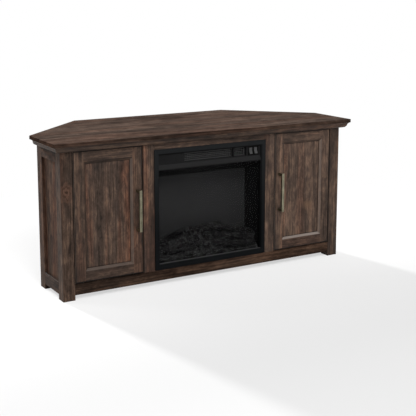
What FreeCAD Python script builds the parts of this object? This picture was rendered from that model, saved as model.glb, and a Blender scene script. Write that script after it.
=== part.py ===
import FreeCAD, Part
import math
import os

# Corner television stand with an electric fireplace insert. Sizes are in millimetres.
# It is drawn with x to the right, y back from the plane of the posts and doors, and z up from the floor.
# Each piece is saved with the origin under the middle of its bounding box.

VECTOR = FreeCAD.Vector
ROOT_TWO = math.sqrt(2.0)

# Top and cornice
OVERHANG = 32.0
TOP_DEPTH = 508.0
TOP_THICKNESS = 13.0
TOP_EASE = 1.5
CORNICE_HEIGHT = 20.0
CORNICE_COVE_HEIGHT = 10.0
CORNICE_STEP = 1.5
CORNICE_WAIST = 22.0
CORNICE_FOOT = 12.5
CORNICE_CURVE = 1.8
BACK_SETBACK = 11.0

# Posts, rails and panels
POST_WIDTH = 43.5
POST_DEPTH = 41.5
REAR_POST_DEPTH = 42.0
SIDE_THICKNESS = 20.0
SIDE_PANEL_THICKNESS = 12.0
SIDE_BOTTOM_RAIL_HEIGHT = 42.5
SIDE_TOP_RAIL_HEIGHT = 39.0
FOOT_CLEARANCE = 18.0
BOTTOM_RAIL_HEIGHT = 38.5
BOARD_THICKNESS = 18.0
HEADER_FACE = 21.0
STILE_FACE = 43.0
STILE_RETURN = 11.0
EDGE_EASE = 1.0

# Back
BACK_PANEL_THICKNESS = 5.0
BACK_PANEL_CLEARANCE = 0.3
BACK_PANEL_LIP = 8.0
BACK_LEG_WIDTH = 78.5
BACK_LEG_THICKNESS = 20.0
BACK_STRETCHER_HEIGHT = 60.0
CABLE_HOLE_RADIUS = 30.0
CABLE_HOLE_RISE = 90.0

# Shelves
SHELF_THICKNESS = 16.0
SHELF_CLEARANCE = 0.8
SHELF_SETBACK = 4.0
LOWER_BAY_HEIGHT = 220.0
SHELF_PIN_RADIUS = 2.5
SHELF_PIN_SEAT = 9.0
SHELF_PIN_REACH = 9.0
SHELF_PIN_INSET = 28.0
SHELF_PIN_REAR_INSET = 111.5

# Doors
DOOR_WIDTH = 255.0
DOOR_GAP = 2.0
DOOR_BOTTOM_GAP = 2.0
DOOR_TOP_GAP = 1.5
DOOR_FRAME_WIDTH = 37.0
DOOR_BEVEL_WIDTH = 8.0
DOOR_BEVEL_DEPTH = 6.0
DOOR_LIP = 2.0
DOOR_PANEL_THICKNESS = 6.0
DOOR_PANEL_CLEARANCE = 0.2

# Door pivots and catches
FIT_CLEARANCE = 0.05
PIVOT_RADIUS = 4.0
PIVOT_INSET = 24.0
PIVOT_SEAT = 20.0
PIVOT_REACH = 10.0
SOCKET_RADIUS = 6.0
SOCKET_DEPTH = 12.0
SOCKET_FLANGE_RADIUS = 8.0
SOCKET_FLANGE_GAP = 0.3
CATCH_INSET = 70.0
CATCH_WIDTH = 44.0
CATCH_DEPTH = 13.5
CATCH_HEIGHT = 24.0
STRIKE_THICKNESS = 1.2
STRIKE_HEIGHT = 14.0
STRIKE_GAP = 0.3

# Handles
HANDLE_LENGTH = 146.0
HANDLE_WIDTH = 10.0
HANDLE_THICKNESS = 7.5
HANDLE_REACH = 27.5
HANDLE_INSET = 20.0
HANDLE_FOOT_LENGTH = 10.0
HANDLE_RISE = 153.5
HANDLE_EASE = 1.0
SCREW_RADIUS = 2.0
SCREW_GRIP = 9.0
SCREW_HEAD_RADIUS = 4.0
SCREW_HEAD_HEIGHT = 2.6

# Fireplace trim, window and casing
TRIM_WIDTH = 464.0
TRIM_HEIGHT = 431.5
TRIM_REVEAL = 2.0
TRIM_LAP = 4.0
TRIM_BORDER = 15.5
TRIM_BOTTOM_BORDER = 18.5
TRIM_PROUD = 4.0
TRIM_EASE = 1.2
TRIM_LIP = 2.5
TRIM_LIP_SETBACK = 2.5
TRIM_LIP_DEPTH = 7.0
SHEET = 1.5
CASING_INSET = 10.0
CASING_DEPTH = 210.0
CASING_HEADROOM = 2.0
GLASS_THICKNESS = 4.0
GLASS_CLEARANCE = 0.5
FLAME_DEPTH = 88.0
SCREEN_THICKNESS = 3.0
SCREEN_HEIGHT = 308.0

# Heater fascia, grille and switches
FASCIA_HEIGHT = 58.0
FASCIA_THICKNESS = 10.0
FASCIA_SETBACK = 5.0
FASCIA_CLEARANCE = 0.4
FASCIA_LIP_HEIGHT = 19.0
FASCIA_LIP_NOSE = 4.0
FASCIA_LIP_REACH = 5.0
MOUTH_LEFT_MARGIN = 103.5
MOUTH_WIDTH = 206.0
MOUTH_HEIGHT = 33.0
MOUTH_RISE = 21.5
MOUTH_TAPER = 2.5
DIVIDER_WIDTH = 4.0
VENT_WIDTH = 52.0
GRILLE_THICKNESS = 1.5
GRILLE_PITCH = 8.0
GRILLE_ROW_PITCH = 6.0
GRILLE_BAR = 1.6
GRILLE_LAP = 3.0
POCKET_GAP = 8.0
POCKET_WIDTH = 45.0
POCKET_DEPTH = 1.0
SWITCH_PITCH = 21.5
SWITCH_WALL = 2.0
SWITCH_DEPTH = 15.0
ROCKER_WIDTH = 14.0
ROCKER_HEIGHT = 26.0
ROCKER_FACE = 3.0
ROCKER_RISE = 2.5
ROCKER_BACK = 3.0
ROCKER_TILT = 12.0
ROCKER_SIDE_GAP = 0.3
ROCKER_END_GAP = 1.2
ROCKER_PIN_RADIUS = 1.5
ROCKER_PIN_REACH = 1.4

# Log set and ember bed
EMBER_SIDE_GAP = 6.0
EMBER_FRONT_GAP = 2.0
EMBER_BACK_GAP = 3.0
EMBER_FRONT_HEIGHT = 30.0
EMBER_CROWN_HEIGHT = 60.0
EMBER_BACK_HEIGHT = 66.0
HEAP_HEIGHT = 100.0
HEAP_LEFT_HEIGHT = 68.0
HEAP_FRONT_RUN = 30.0
HEAP_CREST_RUN = 26.0
HEAP_CREST_START = -90.0
HEAP_CREST_END = -10.0
HEAP_END = 110.0
LOG_SIDE_GAP = 14.0
LOG_FRONT_GAP = 31.0
LEFT_LOG_RADIUS = 16.0
LEFT_LOG_TIP_RADIUS = 9.0
LEFT_LOG_RUN = 117.0
LEFT_LOG_SETBACK = 12.0
LEFT_LOG_FOOT = 66.0
LEFT_LOG_RISE = 54.0
RIGHT_LOG_RADIUS = 24.0
RIGHT_LOG_TIP_RADIUS = 27.0
RIGHT_LOG_RUN = 176.0
RIGHT_LOG_SETBACK = 6.0
RIGHT_LOG_FOOT = 60.0
RIGHT_LOG_RISE = 37.0
FRONT_LOG_RADIUS = 13.0
FRONT_LOG_TIP_RADIUS = 15.0
FRONT_LOG_RUN = 146.0
FRONT_LOG_SETBACK = -13.0
FRONT_LOG_FOOT = 36.0
FRONT_LOG_RISE = 6.0
BRANCH_RADIUS = 10.0
BRANCH_TIP_RADIUS = 8.0
BRANCH_START = -182.0
BRANCH_RUN = 128.0
BRANCH_SETBACK = -18.0
BRANCH_FOOT = 52.0
BRANCH_RISE = 6.0
MIDDLE_LOG_RADIUS = 22.0
MIDDLE_LOG_TIP_RADIUS = 20.0
MIDDLE_LOG_RUN = 150.0
MIDDLE_LOG_SETBACK = 20.0
MIDDLE_LOG_FOOT = 98.0
MIDDLE_LOG_RISE = 10.0

# Flame effect
SPINNER_SETBACK = 43.0
SPINNER_RISE = 54.0
SPINNER_ROD_RADIUS = 2.5
SPINNER_FIN_RADIUS = 15.0
SPINNER_FIN_LENGTH = 22.0
SPINNER_FIN_THICKNESS = 1.0
SPINNER_FIN_COUNT = 14
SPINNER_FIN_TURN = 50.0
SPINNER_BRACKET_INSET = 22.0
SPINNER_BRACKET_WIDTH = 40.0
SPINNER_BRACKET_MARGIN = 14.0
SPINNER_MOTOR_RADIUS = 19.0
SPINNER_MOTOR_LENGTH = 17.0
SPINNER_TAIL = 3.0
LIGHT_BAR_END_GAP = 8.0
LIGHT_BAR_WIDTH = 12.0
LIGHT_BAR_HEIGHT = 4.0
LIGHT_BAR_SETBACK = 10.0
LED_RADIUS = 2.5
LED_HEIGHT = 2.0
LED_COUNT = 12

# Blower and heater
BLOWER_SETBACK = 100.0
BLOWER_RISE = 34.0
BLOWER_RADIUS = 21.0
BLOWER_BLADE_DEPTH = 6.0
BLOWER_BLADE_THICKNESS = 1.2
BLOWER_BLADE_COUNT = 18
BLOWER_DISC_THICKNESS = 1.5
BLOWER_SHAFT_RADIUS = 2.0
BLOWER_END_GAP = 2.5
BLOWER_HOUSING_FRONT = 25.0
BLOWER_HOUSING_BACK = 30.0
BLOWER_HOUSING_HEIGHT = 61.5
BLOWER_MOTOR_RADIUS = 21.0
BLOWER_MOTOR_LENGTH = 30.0
HEATER_SETBACK = 14.0
HEATER_DEPTH = 20.0
HEATER_BLOCK_LENGTH = 12.0
HEATER_RISE = 24.0
HEATER_BAR_HEIGHT = 3.0
HEATER_BAR_PITCH = 7.0
HEATER_BAR_COUNT = 4

# Control board, brackets and cord gland
BOARD_MARGIN = 16.0
BOARD_LENGTH = 66.0
BOARD_DEPTH = 70.0
BOARD_SETBACK = 50.0
PCB_THICKNESS = 1.6
STANDOFF_HEIGHT = 6.0
STANDOFF_RADIUS = 3.0
STANDOFF_INSET = 5.0
RELAY_SIZE = 16.0
RELAY_COUNT = 2
CAPACITOR_RADIUS = 5.0
CAPACITOR_HEIGHT = 14.0
BRACKET_HEIGHT = 30.0
BRACKET_FLANGE = 16.0
BRACKET_SETBACK = 40.0
BRACKET_RISES = (90.0, 330.0)
GLAND_RADIUS = 6.0
GLAND_BORE_RADIUS = 3.5
GLAND_FLANGE_RADIUS = 9.0
GLAND_FLANGE_THICKNESS = 3.0
GLAND_STEM = 4.0
GLAND_INSET = 50.0
GLAND_RISE = 42.0

# Heights worked out from the sizes above
RAIL_TOP = FOOT_CLEARANCE + BOTTOM_RAIL_HEIGHT
TRIM_BOTTOM = RAIL_TOP + TRIM_REVEAL
TRIM_TOP = TRIM_BOTTOM + TRIM_HEIGHT
CARCASS_TOP = TRIM_TOP + HEADER_FACE
TOP_BOTTOM = CARCASS_TOP + CORNICE_HEIGHT
HEIGHT = TOP_BOTTOM + TOP_THICKNESS
SHELF_BOTTOM = RAIL_TOP + LOWER_BAY_HEIGHT
DOOR_BOTTOM = RAIL_TOP + DOOR_BOTTOM_GAP
DOOR_TOP = CARCASS_TOP - DOOR_TOP_GAP

# Places across the front
TRIM_HALF = TRIM_WIDTH / 2.0
STILE_INNER = TRIM_HALF - TRIM_LAP
DOOR_OPENING = TRIM_HALF + STILE_FACE
POST_INNER = DOOR_OPENING + DOOR_WIDTH + 2.0 * DOOR_GAP
BODY_HALF = POST_INNER + POST_WIDTH
TOP_HALF = BODY_HALF + OVERHANG
SIDE_INNER = BODY_HALF - SIDE_THICKNESS
PARTITION_OUTER = DOOR_OPENING - STILE_RETURN
PARTITION_INNER = PARTITION_OUTER - BOARD_THICKNESS
DOOR_FREE_EDGE = DOOR_OPENING + DOOR_GAP
DOOR_HINGE_EDGE = DOOR_FREE_EDGE + DOOR_WIDTH
PIVOT_X = DOOR_HINGE_EDGE - PIVOT_INSET
PIVOT_Y = BOARD_THICKNESS / 2.0

# Plan of the back: each diagonal is the line where x plus y is the value given
TOP_BACK = TOP_DEPTH - OVERHANG
BODY_BACK = TOP_BACK - BACK_SETBACK
BACK_LEG_FRONT = BODY_BACK - BACK_LEG_THICKNESS
BACK_CORNER = PARTITION_INNER + BACK_LEG_WIDTH
BODY_DIAGONAL = BACK_CORNER + BODY_BACK
TOP_DIAGONAL = BODY_DIAGONAL + BACK_SETBACK * ROOT_TWO
INNER_DIAGONAL = BODY_DIAGONAL - BACK_PANEL_THICKNESS * ROOT_TWO
SIDE_DEPTH = BODY_DIAGONAL - BODY_HALF
REAR_POST_FRONT = SIDE_DEPTH - REAR_POST_DEPTH
LIP_STEP = BACK_PANEL_LIP / ROOT_TWO
RABBET_STEP = BACK_PANEL_THICKNESS / ROOT_TWO
ORIGIN_SHIFT = OVERHANG - TOP_DEPTH / 2.0

# Places in the fireplace insert
WINDOW_HALF = TRIM_HALF - TRIM_BORDER
WINDOW_BOTTOM = TRIM_BOTTOM + TRIM_BOTTOM_BORDER
WINDOW_TOP = TRIM_TOP - TRIM_BORDER
LIP_HALF = WINDOW_HALF - TRIM_LIP
LIP_BOTTOM = WINDOW_BOTTOM + TRIM_LIP
LIP_TOP = WINDOW_TOP - TRIM_LIP
CASING_HALF = TRIM_HALF - CASING_INSET
CASING_INNER = CASING_HALF - SHEET
CASING_BOTTOM = RAIL_TOP
CASING_FLOOR = CASING_BOTTOM + SHEET
CASING_TOP = TRIM_TOP - TRIM_LAP - CASING_HEADROOM
CASING_BACK = CASING_DEPTH - SHEET
SCREEN_SETBACK = CASING_DEPTH - FLAME_DEPTH
FASCIA_HALF = LIP_HALF - FASCIA_CLEARANCE
FASCIA_TOP = LIP_TOP - FASCIA_CLEARANCE
FASCIA_BOTTOM = FASCIA_TOP - FASCIA_HEIGHT
FASCIA_FRONT = FASCIA_SETBACK
FASCIA_BACK = FASCIA_FRONT + FASCIA_THICKNESS
TRAY_TOP = FASCIA_BOTTOM
TRAY_BOTTOM = TRAY_TOP - SHEET
SCREEN_TOP = CASING_FLOOR + SCREEN_HEIGHT
MOUTH_LEFT = -FASCIA_HALF + MOUTH_LEFT_MARGIN
MOUTH_RIGHT = MOUTH_LEFT + MOUTH_WIDTH
MOUTH_BOTTOM = FASCIA_BOTTOM + MOUTH_RISE
MOUTH_TOP = MOUTH_BOTTOM + MOUTH_HEIGHT
VENT_LEFT = MOUTH_RIGHT + DIVIDER_WIDTH
VENT_RIGHT = VENT_LEFT + VENT_WIDTH
POCKET_LEFT = VENT_RIGHT + POCKET_GAP
POCKET_RIGHT = POCKET_LEFT + POCKET_WIDTH
POCKET_MIDDLE = (POCKET_LEFT + POCKET_RIGHT) / 2.0
SWITCH_Z = (MOUTH_BOTTOM + MOUTH_TOP) / 2.0
SWITCH_FRONT = FASCIA_FRONT + POCKET_DEPTH
ROCKER_SWING = ROCKER_HEIGHT / 2.0 * math.sin(math.radians(ROCKER_TILT))
ROCKER_Y = SWITCH_FRONT + ROCKER_FACE + ROCKER_RISE - ROCKER_SWING
CAVITY_HALF_WIDTH = ROCKER_WIDTH / 2.0 + ROCKER_SIDE_GAP
CAVITY_HALF_HEIGHT = ROCKER_HEIGHT / 2.0 + ROCKER_END_GAP
SPINNER_Y = SCREEN_SETBACK + SPINNER_SETBACK
SPINNER_Z = CASING_FLOOR + SPINNER_RISE
SPINNER_BRACKET_X = CASING_INNER - SPINNER_BRACKET_INSET
BLOWER_Z = TRAY_TOP + BLOWER_RISE
BLOWER_LEFT = MOUTH_LEFT + MOUTH_TAPER
BLOWER_RIGHT = MOUTH_RIGHT - MOUTH_TAPER


def box(x, y, z):
    """A block that spans the pairs x, y and z."""
    return Part.makeBox(x[1] - x[0], y[1] - y[0], z[1] - z[0], VECTOR(x[0], y[0], z[0]))


def eased(shape, radius):
    """The shape with all its edges rounded."""
    return shape.makeFillet(radius, shape.Edges)


def board(x, y, z):
    """A wooden board with softened edges."""
    return eased(box(x, y, z), EDGE_EASE)


def prism(outline, z):
    """An upright prism over a plan outline of (x, y) points."""
    points = [VECTOR(px, py, z[0]) for px, py in outline]
    face = Part.Face(Part.makePolygon(points + points[:1]))
    return face.extrude(VECTOR(0.0, 0.0, z[1] - z[0]))


def side_prism(outline, x):
    """A prism that runs along x over an outline of (y, z) points."""
    points = [VECTOR(x[0], py, pz) for py, pz in outline]
    face = Part.Face(Part.makePolygon(points + points[:1]))
    return face.extrude(VECTOR(x[1] - x[0], 0.0, 0.0))


def rod(radius, start, end):
    """A round bar between two points."""
    run = VECTOR(*end).sub(VECTOR(*start))
    return Part.makeCylinder(radius, run.Length, VECTOR(*start), run)


def tapered_log(radius, tip_radius, start, end):
    """A round log that tapers between two points."""
    run = VECTOR(*end).sub(VECTOR(*start))
    return Part.makeCone(radius, tip_radius, run.Length, VECTOR(*start), run)


def pivot_rod(radius, z):
    """A round bar on the right door's pivot axis."""
    return rod(radius, (PIVOT_X, PIVOT_Y, z[0]), (PIVOT_X, PIVOT_Y, z[1]))


def fused(*shapes):
    return shapes[0].multiFuse(list(shapes[1:])).removeSplitter()


def mirrored(shape):
    """The same shape on the other side of the middle plane."""
    return shape.mirror(VECTOR(0.0, 0.0, 0.0), VECTOR(1.0, 0.0, 0.0))


def unchanged(shape):
    return shape


def both_sides(shape):
    return [mirrored(shape), shape]


def hexagon(half, front, diagonal, back):
    """The corner unit's plan: straight front and ends, two diagonals and a short back."""
    right = [(half, front), (half, diagonal - half), (diagonal - back, back)]
    left = [(-x, y) for x, y in reversed(right)]
    return right + left


def save(node, *shapes):
    """Checks the solids of a node, moves them to the part's origin and writes them."""
    solids = [solid for shape in shapes for solid in shape.Solids]
    for solid in solids:
        if not solid.isValid():
            raise ValueError("invalid solid in " + node)
    piece = solids[0].copy() if len(solids) == 1 else Part.makeCompound(solids)
    piece.translate(VECTOR(0.0, ORIGIN_SHIFT, 0.0))
    piece.exportStep(os.path.join("parts", node + ".step"))


# Top panel, sub-top and cornice

def cornice_profile(place):
    """The moulding's section; place turns an overhang and a height into a point."""
    waist = CARCASS_TOP + CORNICE_HEIGHT - CORNICE_COVE_HEIGHT
    upper = (OVERHANG - CORNICE_STEP, TOP_BOTTOM)
    middle = (CORNICE_WAIST, waist)
    foot = (CORNICE_FOOT, CARCASS_TOP)

    def curve(start, end, bulge):
        run = (end[0] - start[0], end[1] - start[1])
        length = math.hypot(*run)
        centre = ((start[0] + end[0]) / 2.0, (start[1] + end[1]) / 2.0)
        top = (centre[0] - bulge * run[1] / length, centre[1] + bulge * run[0] / length)
        return Part.Arc(place(*start), place(*top), place(*end)).toShape()

    def line(start, end):
        return Part.makeLine(place(*start), place(*end))

    edges = [
        line((0.0, TOP_BOTTOM), upper),
        curve(upper, middle, -CORNICE_CURVE),
        curve(middle, foot, CORNICE_CURVE),
        line(foot, (0.0, CARCASS_TOP)),
        line((0.0, CARCASS_TOP), (0.0, TOP_BOTTOM)),
    ]
    return Part.Face(Part.Wire(edges))


def make_cornice():
    heights = (CARCASS_TOP, TOP_BOTTOM)
    front_face = cornice_profile(lambda out, z: VECTOR(-TOP_HALF, -out, z))
    front_plan = [
        (-TOP_HALF, -OVERHANG),
        (TOP_HALF, -OVERHANG),
        (BODY_HALF, 0.0),
        (-BODY_HALF, 0.0),
    ]
    front = front_face.extrude(VECTOR(2.0 * TOP_HALF, 0.0, 0.0)).common(prism(front_plan, heights))
    end_face = cornice_profile(lambda out, z: VECTOR(BODY_HALF + out, -OVERHANG, z))
    end_plan = [
        (BODY_HALF, 0.0),
        (TOP_HALF, -OVERHANG),
        (TOP_HALF, BODY_DIAGONAL - TOP_HALF),
        (BODY_HALF, SIDE_DEPTH),
    ]
    end = end_face.extrude(VECTOR(0.0, OVERHANG + SIDE_DEPTH, 0.0)).common(prism(end_plan, heights))
    save("cornice", front, *both_sides(end))


def make_top():
    slab = prism(hexagon(TOP_HALF, -OVERHANG, TOP_DIAGONAL, TOP_BACK), (TOP_BOTTOM, HEIGHT))
    save("top_panel", eased(slab, TOP_EASE))
    sub_top = prism(hexagon(BODY_HALF, 0.0, BODY_DIAGONAL, BODY_BACK), (CARCASS_TOP, TOP_BOTTOM))
    socket_hole = pivot_rod(SOCKET_RADIUS, (CARCASS_TOP, CARCASS_TOP + SOCKET_DEPTH))
    save("sub_top", sub_top.cut(both_sides(socket_hole)))


# Carcass

def shelf_pins():
    """The four pins under the right shelf."""
    z = SHELF_BOTTOM - SHELF_PIN_RADIUS
    front = POST_DEPTH + SHELF_SETBACK + SHELF_PIN_INSET
    rear_post_middle = REAR_POST_FRONT + REAR_POST_DEPTH / 2.0
    inner = (PARTITION_OUTER - SHELF_PIN_SEAT, PARTITION_OUTER + SHELF_PIN_REACH)
    outer = (SIDE_INNER - SHELF_PIN_REACH, SIDE_INNER + SHELF_PIN_SEAT)
    inner_rear = BACK_LEG_FRONT - SHELF_PIN_REAR_INSET
    places = [(inner, front), (inner, inner_rear), (outer, front), (outer, rear_post_middle)]
    return [(x, y, z) for x, y in places]


def pin_rods(radius):
    return [rod(radius, (x[0], y, z), (x[1], y, z)) for x, y, z in shelf_pins()]


def make_posts_and_sides():
    pin_holes = pin_rods(SHELF_PIN_RADIUS + FIT_CLEARANCE)
    front_post = board((POST_INNER, BODY_HALF), (0.0, POST_DEPTH), (0.0, CARCASS_TOP))
    lip_end = (BODY_HALF - LIP_STEP, SIDE_DEPTH + LIP_STEP)
    rear_outline = [
        (BODY_HALF, REAR_POST_FRONT),
        (BODY_HALF, SIDE_DEPTH),
        lip_end,
        (lip_end[0] - RABBET_STEP, lip_end[1] - RABBET_STEP),
        (SIDE_INNER, INNER_DIAGONAL - SIDE_INNER),
        (SIDE_INNER, REAR_POST_FRONT),
    ]
    rear_post = prism(rear_outline, (0.0, CARCASS_TOP)).cut(pin_holes)
    lower_top = FOOT_CLEARANCE + SIDE_BOTTOM_RAIL_HEIGHT
    upper_bottom = CARCASS_TOP - SIDE_TOP_RAIL_HEIGHT
    span = (POST_DEPTH, REAR_POST_FRONT)
    lower_rail = board((SIDE_INNER, BODY_HALF), span, (FOOT_CLEARANCE, lower_top))
    upper_rail = board((SIDE_INNER, BODY_HALF), span, (upper_bottom, CARCASS_TOP))
    panel_depth = (SIDE_INNER, SIDE_INNER + SIDE_PANEL_THICKNESS)
    panel = box(panel_depth, span, (lower_top, upper_bottom)).cut(pin_holes)
    for side, place in (("left", mirrored), ("right", unchanged)):
        save("front_post_" + side, place(front_post))
        save("rear_post_" + side, place(rear_post))
        save("side_panel_" + side, place(panel))
    save("side_rails", *both_sides(lower_rail), *both_sides(upper_rail))


def make_front():
    socket_hole = pivot_rod(SOCKET_RADIUS, (RAIL_TOP - SOCKET_DEPTH, RAIL_TOP))
    front = (0.0, BOARD_THICKNESS)
    bottom_rail = board((-POST_INNER, POST_INNER), front, (FOOT_CLEARANCE, RAIL_TOP))
    save("bottom_rail", bottom_rail.cut(both_sides(socket_hole)))
    save("header_rail", board((-STILE_INNER, STILE_INNER), front, (TRIM_TOP - TRIM_LAP, CARCASS_TOP)))
    stile = board((STILE_INNER, DOOR_OPENING), front, (RAIL_TOP, CARCASS_TOP))
    save("center_stile_left", mirrored(stile))
    save("center_stile_right", stile)


def make_inside():
    partition = box(
        (PARTITION_INNER, PARTITION_OUTER),
        (BOARD_THICKNESS, BACK_LEG_FRONT),
        (RAIL_TOP, CARCASS_TOP),
    )
    save("partitions", *both_sides(partition.cut(pin_rods(SHELF_PIN_RADIUS + FIT_CLEARANCE))))
    right_edge = [
        (POST_INNER, BOARD_THICKNESS),
        (POST_INNER, POST_DEPTH),
        (SIDE_INNER, POST_DEPTH),
        (SIDE_INNER, INNER_DIAGONAL - SIDE_INNER),
        (INNER_DIAGONAL - BACK_LEG_FRONT, BACK_LEG_FRONT),
    ]
    left_edge = [(-x, y) for x, y in reversed(right_edge)]
    save("bottom_panel", prism(right_edge + left_edge, (RAIL_TOP - BOARD_THICKNESS, RAIL_TOP)))
    shelf_back = BACK_LEG_FRONT - SHELF_CLEARANCE
    shelf_diagonal = INNER_DIAGONAL - SHELF_CLEARANCE * ROOT_TWO
    shelf_inner = PARTITION_OUTER + SHELF_CLEARANCE
    shelf_outer = SIDE_INNER - SHELF_CLEARANCE
    shelf_outline = [
        (shelf_inner, POST_DEPTH + SHELF_SETBACK),
        (shelf_outer, POST_DEPTH + SHELF_SETBACK),
        (shelf_outer, shelf_diagonal - shelf_outer),
        (shelf_diagonal - shelf_back, shelf_back),
        (shelf_inner, shelf_back),
    ]
    shelf = eased(prism(shelf_outline, (SHELF_BOTTOM, SHELF_BOTTOM + SHELF_THICKNESS)), EDGE_EASE)
    save("shelf_left", mirrored(shelf))
    save("shelf_right", shelf)
    pins = pin_rods(SHELF_PIN_RADIUS)
    save("shelf_pins", *pins, *[mirrored(pin) for pin in pins])


def make_back():
    lip_end = (BACK_CORNER + LIP_STEP, BODY_BACK - LIP_STEP)
    leg_outline = [
        (PARTITION_INNER, BODY_BACK),
        (BACK_CORNER, BODY_BACK),
        lip_end,
        (lip_end[0] - RABBET_STEP, lip_end[1] - RABBET_STEP),
        (INNER_DIAGONAL - BACK_LEG_FRONT, BACK_LEG_FRONT),
        (PARTITION_INNER, BACK_LEG_FRONT),
    ]
    save("back_legs", *both_sides(prism(leg_outline, (0.0, CARCASS_TOP))))
    clear = BACK_PANEL_CLEARANCE / ROOT_TWO
    front_end = (BODY_HALF - LIP_STEP - clear, SIDE_DEPTH + LIP_STEP + clear)
    back_end = (lip_end[0] + clear, lip_end[1] - clear)
    panel_outline = [
        front_end,
        back_end,
        (back_end[0] - RABBET_STEP, back_end[1] - RABBET_STEP),
        (front_end[0] - RABBET_STEP, front_end[1] - RABBET_STEP),
    ]
    panel = prism(panel_outline, (FOOT_CLEARANCE, CARCASS_TOP))
    middle = ((front_end[0] + back_end[0]) / 2.0, (front_end[1] + back_end[1]) / 2.0)
    shelf_top = SHELF_BOTTOM + SHELF_THICKNESS
    holes = []
    for z in (RAIL_TOP + CABLE_HOLE_RISE, shelf_top + CABLE_HOLE_RISE):
        start = (middle[0] - 2.0 * RABBET_STEP, middle[1] - 2.0 * RABBET_STEP, z)
        end = (middle[0] + RABBET_STEP, middle[1] + RABBET_STEP, z)
        holes.append(rod(CABLE_HOLE_RADIUS, start, end))
    save("back_panels", *both_sides(panel.cut(holes)))
    span = (-PARTITION_INNER, PARTITION_INNER)
    depth = (BACK_LEG_FRONT, BODY_BACK)
    lower = box(span, depth, (FOOT_CLEARANCE, FOOT_CLEARANCE + BACK_STRETCHER_HEIGHT))
    upper = box(span, depth, (CARCASS_TOP - BACK_STRETCHER_HEIGHT, CARCASS_TOP))
    save("back_stretchers", lower, upper)


# Doors, drawn for the right side

def stile_section(edge, inward):
    """Plan of a door stile from its outer edge; inward is 1 or -1 along x."""
    width = DOOR_FRAME_WIDTH
    full = width + DOOR_BEVEL_WIDTH
    lip_back = DOOR_BEVEL_DEPTH + DOOR_LIP
    section = [
        (0.0, EDGE_EASE),
        (EDGE_EASE, 0.0),
        (width, 0.0),
        (full, DOOR_BEVEL_DEPTH),
        (full, lip_back),
        (width, lip_back),
        (width, BOARD_THICKNESS),
        (0.0, BOARD_THICKNESS),
    ]
    return [(edge + inward * x, y) for x, y in section]


def rail_section(edge, inward):
    """Section of a door rail in y and z from its outer edge; inward is 1 or -1 along z."""
    return [(y, z) for z, y in stile_section(edge, inward)]


def handle_feet():
    """Heights of the middles of the handle's two feet."""
    base = DOOR_BOTTOM + HANDLE_RISE
    return [base + HANDLE_FOOT_LENGTH / 2.0, base + HANDLE_LENGTH - HANDLE_FOOT_LENGTH / 2.0]


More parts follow.
